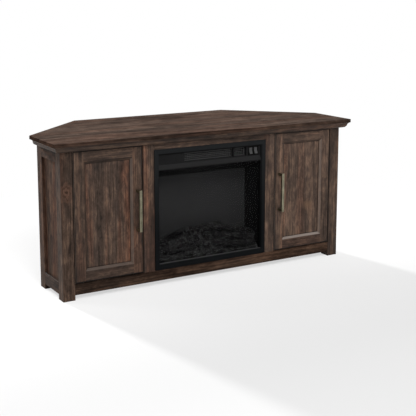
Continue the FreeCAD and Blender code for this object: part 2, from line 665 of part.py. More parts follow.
def make_door(side, place):
    heights = (DOOR_BOTTOM, DOOR_TOP)
    handle_x = DOOR_FREE_EDGE + HANDLE_INSET
    screw_holes = []
    screws = []
    for z in handle_feet():
        back = (handle_x, BOARD_THICKNESS, z)
        tip = (handle_x, -SCREW_GRIP, z)
        head = (handle_x, BOARD_THICKNESS + SCREW_HEAD_HEIGHT, z)
        screw_holes.append(rod(SCREW_RADIUS + FIT_CLEARANCE, back, tip))
        screws.append(fused(rod(SCREW_RADIUS, back, tip), rod(SCREW_HEAD_RADIUS, back, head)))
    pivot_holes = [
        pivot_rod(PIVOT_RADIUS + FIT_CLEARANCE, (DOOR_BOTTOM, DOOR_BOTTOM + PIVOT_SEAT)),
        pivot_rod(PIVOT_RADIUS + FIT_CLEARANCE, (DOOR_TOP - PIVOT_SEAT, DOOR_TOP)),
    ]
    plain_hinge_stile = prism(stile_section(DOOR_HINGE_EDGE, -1.0), heights)
    plain_pull_stile = prism(stile_section(DOOR_FREE_EDGE, 1.0), heights)
    hinge_stile = plain_hinge_stile.cut(pivot_holes)
    pull_stile = plain_pull_stile.cut(screw_holes)
    rail_span = (DOOR_FREE_EDGE + DOOR_FRAME_WIDTH, DOOR_HINGE_EDGE - DOOR_FRAME_WIDTH)
    rails = []
    for edge, inward in ((DOOR_BOTTOM, 1.0), (DOOR_TOP, -1.0)):
        rail = side_prism(rail_section(edge, inward), rail_span)
        rails.append(rail.cut([plain_hinge_stile, plain_pull_stile]))
    panel_inset = DOOR_FRAME_WIDTH + DOOR_PANEL_CLEARANCE
    panel_front = DOOR_BEVEL_DEPTH + DOOR_LIP
    panel = box(
        (DOOR_FREE_EDGE + panel_inset, DOOR_HINGE_EDGE - panel_inset),
        (panel_front, panel_front + DOOR_PANEL_THICKNESS),
        (DOOR_BOTTOM + panel_inset, DOOR_TOP - panel_inset),
    )
    pins = [
        pivot_rod(PIVOT_RADIUS, (DOOR_BOTTOM - DOOR_BOTTOM_GAP - PIVOT_REACH, DOOR_BOTTOM + PIVOT_SEAT)),
        pivot_rod(PIVOT_RADIUS, (DOOR_TOP - PIVOT_SEAT, DOOR_TOP + DOOR_TOP_GAP + PIVOT_REACH)),
    ]
    strike_x = DOOR_OPENING + CATCH_INSET
    strike_middle = CARCASS_TOP - CATCH_HEIGHT / 2.0
    strike = box(
        (strike_x - CATCH_WIDTH / 2.0, strike_x + CATCH_WIDTH / 2.0),
        (BOARD_THICKNESS, BOARD_THICKNESS + STRIKE_THICKNESS),
        (strike_middle - STRIKE_HEIGHT / 2.0, strike_middle + STRIKE_HEIGHT / 2.0),
    )
    width = (handle_x - HANDLE_WIDTH / 2.0, handle_x + HANDLE_WIDTH / 2.0)
    handle_bottom = DOOR_BOTTOM + HANDLE_RISE
    bar_back = HANDLE_THICKNESS - HANDLE_REACH
    bar = box(width, (-HANDLE_REACH, bar_back), (handle_bottom, handle_bottom + HANDLE_LENGTH))
    feet = []
    for z in handle_feet():
        foot_span = (z - HANDLE_FOOT_LENGTH / 2.0, z + HANDLE_FOOT_LENGTH / 2.0)
        feet.append(box(width, (bar_back, 0.0), foot_span))
    solid_handle = fused(bar, *feet)
    face_limit = HANDLE_THICKNESS / 2.0 - HANDLE_REACH
    face_edges = [edge for edge in solid_handle.Edges if edge.BoundBox.YMax < face_limit]
    handle = solid_handle.makeFillet(HANDLE_EASE, face_edges).cut(screw_holes)
    save(side + "_door_stiles", place(hinge_stile), place(pull_stile))
    save(side + "_door_rails", *[place(rail) for rail in rails])
    save(side + "_door_panel", place(panel))
    save(side + "_handle", place(handle))
    save(side + "_handle_screws", *[place(screw) for screw in screws])
    save(side + "_pivot_pins", *[place(pin) for pin in pins])
    save(side + "_strike_plate", place(strike))


def make_door_fittings():
    """Pivot sockets and magnetic catches, which stay on the cabinet."""
    bore = PIVOT_RADIUS + FIT_CLEARANCE
    barrel = SOCKET_RADIUS - FIT_CLEARANCE
    lower_top = RAIL_TOP + DOOR_BOTTOM_GAP - SOCKET_FLANGE_GAP
    upper_bottom = CARCASS_TOP - DOOR_TOP_GAP + SOCKET_FLANGE_GAP
    lower = fused(
        pivot_rod(barrel, (RAIL_TOP - SOCKET_DEPTH, RAIL_TOP)),
        pivot_rod(SOCKET_FLANGE_RADIUS, (RAIL_TOP, lower_top)),
    )
    upper = fused(
        pivot_rod(barrel, (CARCASS_TOP, CARCASS_TOP + SOCKET_DEPTH)),
        pivot_rod(SOCKET_FLANGE_RADIUS, (upper_bottom, CARCASS_TOP)),
    )
    hole = pivot_rod(bore, (0.0, HEIGHT))
    save("hinge_sockets", *both_sides(lower.cut(hole)), *both_sides(upper.cut(hole)))
    catch_x = DOOR_OPENING + CATCH_INSET
    catch_front = BOARD_THICKNESS + STRIKE_THICKNESS + STRIKE_GAP
    catch = box(
        (catch_x - CATCH_WIDTH / 2.0, catch_x + CATCH_WIDTH / 2.0),
        (catch_front, catch_front + CATCH_DEPTH),
        (CARCASS_TOP - CATCH_HEIGHT, CARCASS_TOP),
    )
    save("door_catches", *both_sides(eased(catch, EDGE_EASE)))


# Fireplace insert: trim, casing, glass and flame screen

def make_trim():
    outer = box((-TRIM_HALF, TRIM_HALF), (-TRIM_PROUD, 0.0), (TRIM_BOTTOM, TRIM_TOP))
    front_edges = [edge for edge in outer.Edges if edge.BoundBox.YMax < -TRIM_PROUD / 2.0]
    outer = outer.makeFillet(TRIM_EASE, front_edges)
    window = box((-WINDOW_HALF, WINDOW_HALF), (-TRIM_PROUD, 0.0), (WINDOW_BOTTOM, WINDOW_TOP))
    lip_depth = (TRIM_LIP_SETBACK - TRIM_PROUD, TRIM_LIP_DEPTH)
    lip = box((-WINDOW_HALF, WINDOW_HALF), lip_depth, (WINDOW_BOTTOM, WINDOW_TOP))
    lip_hole = box((-LIP_HALF, LIP_HALF), lip_depth, (LIP_BOTTOM, LIP_TOP))
    save("trim_frame", fused(outer.cut(window), lip.cut(lip_hole)))


def make_casing():
    width = (-CASING_HALF, CASING_HALF)
    inner_width = (-CASING_INNER, CASING_INNER)
    depth = (0.0, CASING_DEPTH)
    inner_height = (CASING_FLOOR, CASING_TOP - SHEET)
    floor = box(width, depth, (CASING_BOTTOM, CASING_FLOOR))
    roof = box(width, depth, (CASING_TOP - SHEET, CASING_TOP))
    wall = box((CASING_INNER, CASING_HALF), depth, inner_height)
    gland_x, gland_z = gland_place()
    hole_ends = ((gland_x, CASING_BACK, gland_z), (gland_x, CASING_DEPTH, gland_z))
    gland_hole = rod(GLAND_RADIUS + FIT_CLEARANCE, *hole_ends)
    back = box(inner_width, (CASING_BACK, CASING_DEPTH), inner_height).cut(gland_hole)
    tray = box(inner_width, (TRIM_LIP_DEPTH, CASING_BACK), (TRAY_BOTTOM, TRAY_TOP))
    baffle = box(inner_width, (SCREEN_SETBACK, SCREEN_SETBACK + SHEET), (SCREEN_TOP, TRAY_BOTTOM))
    save("casing", floor, roof, *both_sides(wall), back, tray, baffle)
    glass = box(
        (-CASING_INNER + GLASS_CLEARANCE, CASING_INNER - GLASS_CLEARANCE),
        (TRIM_LIP_DEPTH, TRIM_LIP_DEPTH + GLASS_THICKNESS),
        (CASING_FLOOR, TRAY_BOTTOM - GLASS_CLEARANCE),
    )
    save("window_glass", glass)
    screen_depth = (SCREEN_SETBACK, SCREEN_SETBACK + SCREEN_THICKNESS)
    save("flame_screen", box(inner_width, screen_depth, (CASING_FLOOR, SCREEN_TOP)))


def gland_place():
    return CASING_INNER - GLAND_INSET, CASING_FLOOR + GLAND_RISE


def make_gland_and_brackets():
    x, z = gland_place()
    stem = rod(GLAND_RADIUS, (x, CASING_BACK - GLAND_STEM, z), (x, CASING_DEPTH, z))
    flange_back = CASING_DEPTH + GLAND_FLANGE_THICKNESS
    flange = rod(GLAND_FLANGE_RADIUS, (x, CASING_DEPTH, z), (x, flange_back, z))
    bore = rod(GLAND_BORE_RADIUS, (x, CASING_BACK - GLAND_STEM, z), (x, flange_back, z))
    save("cord_gland", fused(stem, flange).cut(bore))
    web = BRACKET_SETBACK + BRACKET_FLANGE
    outline = [
        (CASING_HALF, BRACKET_SETBACK),
        (CASING_HALF + SHEET, BRACKET_SETBACK),
        (CASING_HALF + SHEET, web),
        (PARTITION_INNER, web),
        (PARTITION_INNER, web + BRACKET_FLANGE),
        (PARTITION_INNER - SHEET, web + BRACKET_FLANGE),
        (PARTITION_INNER - SHEET, web + SHEET),
        (CASING_HALF, web + SHEET),
    ]
    brackets = []
    for rise in BRACKET_RISES:
        base = CASING_FLOOR + rise
        brackets += both_sides(prism(outline, (base, base + BRACKET_HEIGHT)))
    save("mounting_brackets", *brackets)


# Fireplace insert: heater fascia, grille and switches

def tapered_mouth(left, right):
    """A mouth through the fascia that narrows towards the back."""
    def ring(y, inset):
        corners = [
            VECTOR(left + inset, y, MOUTH_BOTTOM + inset),
            VECTOR(right - inset, y, MOUTH_BOTTOM + inset),
            VECTOR(right - inset, y, MOUTH_TOP - inset),
            VECTOR(left + inset, y, MOUTH_TOP - inset),
        ]
        return Part.makePolygon(corners + corners[:1])
    return Part.makeLoft([ring(FASCIA_FRONT, 0.0), ring(FASCIA_BACK, MOUTH_TAPER)], True, True)


def switch_places():
    return [POCKET_MIDDLE - SWITCH_PITCH / 2.0, POCKET_MIDDLE + SWITCH_PITCH / 2.0]


def housing_outline(x, margin):
    half_width = CAVITY_HALF_WIDTH + margin
    half_height = CAVITY_HALF_HEIGHT + margin
    return (x - half_width, x + half_width), (SWITCH_Z - half_height, SWITCH_Z + half_height)


def make_fascia():
    plate = box((-FASCIA_HALF, FASCIA_HALF), (FASCIA_FRONT, FASCIA_BACK), (FASCIA_BOTTOM, FASCIA_TOP))
    nose = FASCIA_FRONT - FASCIA_LIP_REACH
    lip_section = [
        (FASCIA_FRONT, FASCIA_BOTTOM),
        (nose, FASCIA_BOTTOM),
        (nose, FASCIA_BOTTOM + FASCIA_LIP_NOSE),
        (FASCIA_FRONT, FASCIA_BOTTOM + FASCIA_LIP_HEIGHT),
    ]
    lip = side_prism(lip_section, (-FASCIA_HALF, FASCIA_HALF))
    pocket = box((POCKET_LEFT, POCKET_RIGHT), (FASCIA_FRONT, SWITCH_FRONT), (MOUTH_BOTTOM, MOUTH_TOP))
    cuts = [tapered_mouth(MOUTH_LEFT, MOUTH_RIGHT), tapered_mouth(VENT_LEFT, VENT_RIGHT), pocket]
    for x in switch_places():
        width, height = housing_outline(x, SWITCH_WALL + FIT_CLEARANCE)
        cuts.append(box(width, (SWITCH_FRONT, FASCIA_BACK), height))
    save("heater_fascia", fused(plate, lip).cut(cuts))


def grille_holes(left, right):
    """Rows of square openings centred in one mouth."""
    width = right - left - 2.0 * MOUTH_TAPER
    height = MOUTH_HEIGHT - 2.0 * MOUTH_TAPER
    columns = int(width // GRILLE_PITCH)
    rows = int(height // GRILLE_ROW_PITCH)
    first_x = (left + right - (columns - 1) * GRILLE_PITCH) / 2.0
    first_z = SWITCH_Z - (rows - 1) * GRILLE_ROW_PITCH / 2.0
    half_x = (GRILLE_PITCH - GRILLE_BAR) / 2.0
    half_z = (GRILLE_ROW_PITCH - GRILLE_BAR) / 2.0
    depth = (FASCIA_BACK, FASCIA_BACK + GRILLE_THICKNESS)
    holes = []
    for column in range(columns):
        for row in range(rows):
            x = first_x + column * GRILLE_PITCH
            z = first_z + row * GRILLE_ROW_PITCH
            holes.append(box((x - half_x, x + half_x), depth, (z - half_z, z + half_z)))
    return holes


def make_grille():
    plate = box(
        (MOUTH_LEFT - GRILLE_LAP, VENT_RIGHT + GRILLE_LAP),
        (FASCIA_BACK, FASCIA_BACK + GRILLE_THICKNESS),
        (MOUTH_BOTTOM - GRILLE_LAP, MOUTH_TOP + GRILLE_LAP),
    )
    holes = grille_holes(MOUTH_LEFT, MOUTH_RIGHT) + grille_holes(VENT_LEFT, VENT_RIGHT)
    save("outlet_grille", plate.cut(holes))


def make_switches():
    housings = []
    half = ROCKER_HEIGHT / 2.0
    section = [
        (-ROCKER_FACE, 0.0),
        (-ROCKER_FACE - ROCKER_RISE, half),
        (ROCKER_BACK, half),
        (ROCKER_BACK, -half),
        (-ROCKER_FACE - ROCKER_RISE, -half),
    ]
    for x, name in zip(switch_places(), ("power", "heat")):
        pin_half = ROCKER_WIDTH / 2.0 + ROCKER_PIN_REACH
        pin_ends = ((x - pin_half, ROCKER_Y, SWITCH_Z), (x + pin_half, ROCKER_Y, SWITCH_Z))
        outline = [(ROCKER_Y + y, SWITCH_Z + z) for y, z in section]
        rocker = side_prism(outline, (x - ROCKER_WIDTH / 2.0, x + ROCKER_WIDTH / 2.0))
        rocker.rotate(VECTOR(x, ROCKER_Y, SWITCH_Z), VECTOR(1.0, 0.0, 0.0), -ROCKER_TILT)
        save(name + "_rocker", fused(rocker, rod(ROCKER_PIN_RADIUS, *pin_ends)))
        width, height = housing_outline(x, SWITCH_WALL)
        cavity_width, cavity_height = housing_outline(x, 0.0)
        block = box(width, (SWITCH_FRONT, SWITCH_FRONT + SWITCH_DEPTH), height)
        cavity = box(cavity_width, (SWITCH_FRONT, SWITCH_FRONT + SWITCH_DEPTH - SWITCH_WALL), cavity_height)
        housings.append(block.cut([cavity, rod(ROCKER_PIN_RADIUS + FIT_CLEARANCE, *pin_ends)]))
    save("switch_housings", *housings)


# Fireplace insert: ember bed and log set

def make_fire():
    front = TRIM_LIP_DEPTH + GLASS_THICKNESS + EMBER_FRONT_GAP
    back = SCREEN_SETBACK - EMBER_BACK_GAP
    depth = back - front
    half = CASING_INNER - EMBER_SIDE_GAP
    section = [
        (front, CASING_FLOOR),
        (back, CASING_FLOOR),
        (back, CASING_FLOOR + EMBER_BACK_HEIGHT),
        (front + depth / 2.0, CASING_FLOOR + EMBER_CROWN_HEIGHT),
        (front, CASING_FLOOR + EMBER_FRONT_HEIGHT),
    ]
    heap_top = CASING_FLOOR + HEAP_HEIGHT
    heap_section = section[:3] + [
        (front + HEAP_FRONT_RUN + HEAP_CREST_RUN, heap_top),
        (front + HEAP_FRONT_RUN, heap_top),
        section[-1],
    ]
    heap_outline = [
        (-half, CASING_FLOOR),
        (HEAP_END, CASING_FLOOR),
        (HEAP_END, CASING_FLOOR + EMBER_FRONT_HEIGHT),
        (HEAP_CREST_END, heap_top),
        (HEAP_CREST_START, heap_top),
        (-half, CASING_FLOOR + HEAP_LEFT_HEIGHT),
    ]
    corners = [VECTOR(x, front, z) for x, z in heap_outline]
    heap_face = Part.Face(Part.makePolygon(corners + corners[:1]))
    heap = side_prism(heap_section, (-half, HEAP_END)).common(heap_face.extrude(VECTOR(0.0, depth, 0.0)))
    bed = fused(side_prism(section, (-half, half)), heap)
    save("ember_bed", bed)
    hearth = CASING_INNER - LOG_SIDE_GAP
    near = TRIM_LIP_DEPTH + GLASS_THICKNESS + LOG_FRONT_GAP

    def laid_log(radius, tip_radius, start_x, run, setback, foot, rise):
        start = (start_x, near + setback, CASING_FLOOR + foot)
        tip = (start_x + run, near + setback, CASING_FLOOR + foot + rise)
        return tapered_log(radius, tip_radius, start, tip)

    logs = [
        laid_log(
            LEFT_LOG_RADIUS, LEFT_LOG_TIP_RADIUS, -hearth, LEFT_LOG_RUN,
            LEFT_LOG_SETBACK, LEFT_LOG_FOOT, LEFT_LOG_RISE,
        ),
        laid_log(
            RIGHT_LOG_RADIUS, RIGHT_LOG_TIP_RADIUS, hearth, -RIGHT_LOG_RUN,
            RIGHT_LOG_SETBACK, RIGHT_LOG_FOOT, RIGHT_LOG_RISE,
        ),
        laid_log(
            FRONT_LOG_RADIUS, FRONT_LOG_TIP_RADIUS, hearth, -FRONT_LOG_RUN,
            FRONT_LOG_SETBACK, FRONT_LOG_FOOT, FRONT_LOG_RISE,
        ),
        laid_log(
            BRANCH_RADIUS, BRANCH_TIP_RADIUS, BRANCH_START, BRANCH_RUN,
            BRANCH_SETBACK, BRANCH_FOOT, BRANCH_RISE,
        ),
        laid_log(
            MIDDLE_LOG_RADIUS, MIDDLE_LOG_TIP_RADIUS, -MIDDLE_LOG_RUN / 2.0, MIDDLE_LOG_RUN,
            MIDDLE_LOG_SETBACK, MIDDLE_LOG_FOOT, MIDDLE_LOG_RISE,
        ),
    ]
    save("log_set", fused(*logs).cut(bed))


# Fireplace insert: flame spinner and light bar

def make_flame_effect():
    def on_axis(x):
        return (x, SPINNER_Y, SPINNER_Z)

    bracket_outer = SPINNER_BRACKET_X + SHEET
    rod_start = on_axis(-bracket_outer - SPINNER_TAIL)
    rod_end = on_axis(bracket_outer + SPINNER_MOTOR_LENGTH / 2.0)
    pieces = [rod(SPINNER_ROD_RADIUS, rod_start, rod_end)]
    run = 2.0 * (SPINNER_BRACKET_X - SPINNER_FIN_LENGTH)
    for index in range(SPINNER_FIN_COUNT):
        x = -run / 2.0 + run * index / (SPINNER_FIN_COUNT - 1)
        fin = box(
            (x - SPINNER_FIN_LENGTH / 2.0, x + SPINNER_FIN_LENGTH / 2.0),
            (SPINNER_Y - SPINNER_FIN_RADIUS, SPINNER_Y + SPINNER_FIN_RADIUS),
            (SPINNER_Z - SPINNER_FIN_THICKNESS / 2.0, SPINNER_Z + SPINNER_FIN_THICKNESS / 2.0),
        )
        fin.rotate(VECTOR(*on_axis(x)), VECTOR(1.0, 0.0, 0.0), index * SPINNER_FIN_TURN)
        pieces.append(fin)
    save("flame_spinner", fused(*pieces))
    bearing = rod(SPINNER_ROD_RADIUS + FIT_CLEARANCE, rod_start, rod_end)
    motor = rod(SPINNER_MOTOR_RADIUS, on_axis(bracket_outer), on_axis(bracket_outer + SPINNER_MOTOR_LENGTH))
    save("spinner_motor", motor.cut(bearing))
    plate_depth = (SPINNER_Y - SPINNER_BRACKET_WIDTH / 2.0, SPINNER_Y + SPINNER_BRACKET_WIDTH / 2.0)
    plate_height = (CASING_FLOOR, SPINNER_Z + SPINNER_BRACKET_MARGIN)
    plate = box((SPINNER_BRACKET_X, bracket_outer), plate_depth, plate_height)
    foot_span = (SPINNER_BRACKET_X - SPINNER_BRACKET_MARGIN, SPINNER_BRACKET_X)
    foot = box(foot_span, plate_depth, (CASING_FLOOR, CASING_FLOOR + SHEET))
    bracket = fused(plate, foot)
    save("spinner_brackets", *[half.cut(bearing) for half in both_sides(bracket)])
    bar_front = SCREEN_SETBACK + SCREEN_THICKNESS + LIGHT_BAR_SETBACK
    bar_top = CASING_FLOOR + LIGHT_BAR_HEIGHT
    half_length = SPINNER_BRACKET_X - SPINNER_BRACKET_MARGIN - LIGHT_BAR_END_GAP
    bar_depth = (bar_front, bar_front + LIGHT_BAR_WIDTH)
    bar = box((-half_length, half_length), bar_depth, (CASING_FLOOR, bar_top))
    lamps = []
    for index in range(LED_COUNT):
        x = half_length * ((2.0 * index + 1.0) / LED_COUNT - 1.0)
        y = bar_front + LIGHT_BAR_WIDTH / 2.0
        lamps.append(rod(LED_RADIUS, (x, y, CASING_FLOOR), (x, y, bar_top + LED_HEIGHT)))
    save("light_bar", fused(bar, *lamps))


# Fireplace insert: blower, heating element and control board

def make_blower():
    def on_axis(x):
        return (x, BLOWER_SETBACK, BLOWER_Z)

    wheel_left = BLOWER_LEFT + BLOWER_END_GAP
    wheel_right = BLOWER_RIGHT - BLOWER_END_GAP
    shaft_ends = (on_axis(BLOWER_LEFT - 2.0 * SHEET), on_axis(BLOWER_RIGHT + BLOWER_MOTOR_LENGTH / 2.0))
    last_disc = wheel_right - BLOWER_DISC_THICKNESS
    disc_places = [wheel_left, (wheel_left + last_disc) / 2.0, last_disc]
    pieces = [rod(BLOWER_SHAFT_RADIUS, *shaft_ends)]
    pieces += [rod(BLOWER_RADIUS, on_axis(x), on_axis(x + BLOWER_DISC_THICKNESS)) for x in disc_places]
    wheel_top = BLOWER_Z + BLOWER_RADIUS
    for index in range(BLOWER_BLADE_COUNT):
        blade = box(
            (wheel_left, wheel_right),
            (BLOWER_SETBACK - BLOWER_BLADE_THICKNESS / 2.0, BLOWER_SETBACK + BLOWER_BLADE_THICKNESS / 2.0),
            (wheel_top - BLOWER_BLADE_DEPTH, wheel_top - BLOWER_BLADE_THICKNESS),
        )
        blade.rotate(VECTOR(*on_axis(0.0)), VECTOR(1.0, 0.0, 0.0), index * 360.0 / BLOWER_BLADE_COUNT)
        pieces.append(blade)
    save("blower_wheel", fused(*pieces))
    bearing = rod(BLOWER_SHAFT_RADIUS + FIT_CLEARANCE, *shaft_ends)
    depth = (BLOWER_SETBACK - BLOWER_HOUSING_FRONT, BLOWER_SETBACK + BLOWER_HOUSING_BACK)
    height = (TRAY_TOP, TRAY_TOP + BLOWER_HOUSING_HEIGHT)
    outer = (BLOWER_LEFT - SHEET, BLOWER_RIGHT + SHEET)
    housing = fused(
        box((outer[0], BLOWER_LEFT), depth, height),
        box((BLOWER_RIGHT, outer[1]), depth, height),
        box(outer, (depth[1] - SHEET, depth[1]), height),
        box(outer, depth, (height[1] - SHEET, height[1])),
    )
    save("blower_housing", housing.cut(bearing))
    motor = rod(BLOWER_MOTOR_RADIUS, on_axis(outer[1]), on_axis(outer[1] + BLOWER_MOTOR_LENGTH))
    save("blower_motor", motor.cut(bearing))


def make_heating_element():
    front = FASCIA_BACK + GRILLE_THICKNESS + HEATER_SETBACK
    depth = (front, front + HEATER_DEPTH)
    left = (BLOWER_LEFT, BLOWER_LEFT + HEATER_BLOCK_LENGTH)
    right = (BLOWER_RIGHT - HEATER_BLOCK_LENGTH, BLOWER_RIGHT)
    first = TRAY_TOP + HEATER_RISE
    block_height = (TRAY_TOP, first + HEATER_BAR_COUNT * HEATER_BAR_PITCH)
    pieces = [box(left, depth, block_height), box(right, depth, block_height)]
    for index in range(HEATER_BAR_COUNT):
        z = first + index * HEATER_BAR_PITCH
        pieces.append(box((left[0], right[1]), depth, (z, z + HEATER_BAR_HEIGHT)))
    save("heating_element", fused(*pieces))


def make_control_board():
    left = CASING_INNER - BOARD_MARGIN - BOARD_LENGTH
    right = left + BOARD_LENGTH
    back = BOARD_SETBACK + BOARD_DEPTH
    pcb_bottom = TRAY_TOP + STANDOFF_HEIGHT
    pcb_top = pcb_bottom + PCB_THICKNESS
    pieces = [box((left, right), (BOARD_SETBACK, back), (pcb_bottom, pcb_top))]
    for x in (left + STANDOFF_INSET, right - STANDOFF_INSET):
        for y in (BOARD_SETBACK + STANDOFF_INSET, back - STANDOFF_INSET):
            pieces.append(rod(STANDOFF_RADIUS, (x, y, TRAY_TOP), (x, y, pcb_bottom)))
    middle_y = (BOARD_SETBACK + back) / 2.0
    for index in range(RELAY_COUNT):
        relay_x = left + STANDOFF_INSET + index * (RELAY_SIZE + STANDOFF_INSET)
        relay_y = (middle_y - RELAY_SIZE / 2.0, middle_y + RELAY_SIZE / 2.0)
        pieces.append(box((relay_x, relay_x + RELAY_SIZE), relay_y, (pcb_top, pcb_top + RELAY_SIZE)))
    capacitor_x = right - STANDOFF_INSET - CAPACITOR_RADIUS
    capacitor_base = (capacitor_x, middle_y, pcb_top)
    capacitor_top = (capacitor_x, middle_y, pcb_top + CAPACITOR_HEIGHT)
    pieces.append(rod(CAPACITOR_RADIUS, capacitor_base, capacitor_top))
    save("control_board", fused(*pieces))


os.makedirs("parts", exist_ok=True)
make_top()
make_cornice()
make_posts_and_sides()
make_front()
make_inside()
make_back()
make_door("left", mirrored)
make_door("right", unchanged)
make_door_fittings()
make_trim()
make_casing()
make_gland_and_brackets()
make_fascia()
make_grille()
make_switches()
make_fire()
make_flame_effect()
make_blower()
make_heating_element()
make_control_board()
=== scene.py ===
import math
import random

import bmesh
import bpy
from mathutils import Euler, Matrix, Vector, noise


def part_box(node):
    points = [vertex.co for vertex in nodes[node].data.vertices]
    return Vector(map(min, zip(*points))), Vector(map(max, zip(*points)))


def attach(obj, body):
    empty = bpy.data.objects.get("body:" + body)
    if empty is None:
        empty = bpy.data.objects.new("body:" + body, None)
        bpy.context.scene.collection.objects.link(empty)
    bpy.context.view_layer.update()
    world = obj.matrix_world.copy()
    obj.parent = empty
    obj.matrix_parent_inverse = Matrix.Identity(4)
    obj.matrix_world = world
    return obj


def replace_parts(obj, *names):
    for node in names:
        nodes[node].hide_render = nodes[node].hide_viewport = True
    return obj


# Looks of the corner fireplace stand. Lengths are in metres, in the part's own frame.

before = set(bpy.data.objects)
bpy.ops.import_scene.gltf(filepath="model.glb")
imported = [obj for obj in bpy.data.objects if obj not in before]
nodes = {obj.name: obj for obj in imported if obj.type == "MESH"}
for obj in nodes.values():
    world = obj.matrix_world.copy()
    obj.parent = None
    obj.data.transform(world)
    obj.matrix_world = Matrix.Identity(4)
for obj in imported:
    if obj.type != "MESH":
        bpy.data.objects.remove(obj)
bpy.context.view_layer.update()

# Camera, fitted to the cabinet's corners in the photograph
CAMERA_PLACE = (-1.6688, -3.0167, 1.0163)
CAMERA_YAW = 0.5344
CAMERA_PITCH = math.radians(9.514)
CAMERA_FOCAL_PIXELS = 920.96
CAMERA_SHIFT = -0.14
IMAGE_WIDTH = 416
SENSOR_WIDTH = 36.0

# Light
WORLD_LIGHT = 0.44
KEY_PLACE = (-0.9, -3.7, 3.1)
KEY_POWER = 132.0
KEY_SIZE = 1.8
SIDE_PLACE = (-2.2, 1.3, 2.6)
SIDE_POWER = 12.0
SIDE_SIZE = 0.8
OVERHEAD_PLACE = (2.4, -1.6, 2.4)
OVERHEAD_POWER = 18.0
OVERHEAD_SIZE = 1.0
SUN_TRAVEL = (0.165, -0.986, -0.325)
SUN_STRENGTH = 3.5
SUN_SPREAD = math.radians(4.5)
LIGHT_AIM = (0.0, 0.0, 0.25)

# Floor: what it reflects, a glow that weakens towards the front and so paints the shadow there darker, and
# a fade into the white around it
FLOOR_HALF = 40.0
FLOOR_COLOUR = 0.8
FLOOR_SHARE = 0.4
NEAR_LIFT = 0.62
FAR_LIFT = 0.39
LIFT_HEADING = (0.08, -1.0, 0.0)
LIFT_START = -0.05
LIFT_END = 1.05
FADE_MIDDLE = (0.0, -0.6, 0.0)
FADE_START = 1.25
FADE_END = 2.1

# Wood colours, dark to light
WALNUT_STOPS = (
    (0.36, (0.010, 0.0066, 0.005)), (0.49, (0.053, 0.0338, 0.0246)), (0.63, (0.150, 0.092, 0.062)),
)
# The top's stops are paler and greyer than the walnut: partly its own colour, partly a painted sheen of
# light grazing the top
TOP_STOPS_WITH_SHEEN = (
    (0.36, (0.040, 0.0292, 0.0246)), (0.49, (0.095, 0.068, 0.0555)), (0.65, (0.192, 0.134, 0.104)),
)
INNER_STOPS = (
    (0.25, (0.018, 0.012, 0.009)), (0.5, (0.036, 0.0245, 0.0185)), (0.75, (0.064, 0.043, 0.031)),
)
# Painted shade: the top's upright faces are multiplied by this tint, so they stay darker than its lit upper
# face
TOP_EDGE_SHADE = (0.46, 0.41, 0.38)
RED_TINT = (1.30, 0.95, 0.82)
STAIN_COLOUR = (0.021, 0.0165, 0.0145)
# The pores' colour, also used as painted shade on door bevels that face right or down
PORE_AND_SHADE_COLOUR = (0.011, 0.0072, 0.0055)
BLAZE_COLOUR = (0.165, 0.094, 0.056)
KNOT_HALO = (0.105, 0.055, 0.036)
KNOT_DARK = (0.010, 0.0062, 0.0048)
# Painted highlight on door bevels that face up, and fainter painted light on those that face left
BEVEL_HIGHLIGHT_COLOUR = (0.118, 0.094, 0.080)
# Painted shade: near black, put where gaps, grooves, flanks and recesses would lie in shadow
PAINTED_SHADE_COLOUR = (0.002, 0.0015, 0.0012)

# Wood patterns: draw along the grain, then scale, detail, roughness and distortion of each noise
BAND_STRETCH = 0.15
GRAIN_STRETCH = 0.05
FINE_STRETCH = 0.026
STAIN_STRETCH = 0.45
BROAD_NOISE = (8.0, 3.0, 0.5, 1.1)
STREAK_NOISE = (52.0, 8.0, 0.68, 0.6)
FINE_NOISE = (210.0, 5.0, 0.66, 0.3)
MOTTLE_NOISE = (55.0, 5.0, 0.7, 0.4)
PORE_NOISE = (330.0, 4.0, 0.6, 0.2)
HEART_NOISE = (17.0, 5.0, 0.6, 0.6)
STAIN_NOISE = (9.0, 5.0, 0.65, 0.6)
SEED_SHIFT = (0.37, 0.61, 0.83)

# Lines in the wood: scale, distortion, detail and detail scale of the wave
LINE_WAVE = (3.4, 11.0, 4.0, 1.4)

# Wood figure: the share of each pattern, and the range over which a tint comes in
STREAK_SHARE = 0.27
BROAD_SHARE = 0.2
FINE_SHARE = 0.34
MOTTLE_SHARE = 0.4
LINE_SHARE = 0.06
FIGURE_OFFSET = -0.145
RED_SHARE = 0.4
STAIN_SHARE = 0.45
PORE_SHARE = 0.42
HEART_RANGE = (0.44, 0.62)
STAIN_RANGE = (0.46, 0.66)
PORE_RANGE = (0.40, 0.56)
STREAK_RANGE = (0.25, 0.75)
WOOD_ROUGHNESS = (0.5, 0.66)
DULL_ROUGHNESS = (0.7, 0.85)
WOOD_SHINE = 0.13
STREAK_BUMP = 0.5

# Knots and blazes in the wood: lengths are shares of the spot's radius
SPOT_STRETCH = 0.6
SPOT_PITCH = 0.9
SPOT_DETAIL = 5.0
SPOT_ROUGHNESS = 0.7
SPOT_RAGGED = 3.2
BLAZE_SHARE = 0.55
BLAZE_RUN = (0.2, 1.2)
HALO_SHARE = 0.65
HALO_RUN = (0.9, 2.0)
RING_SHARE = 0.6
RING_RUN = 0.3
HEART_SHARE = 0.75
HEART_RUN = (0.1, 0.45)

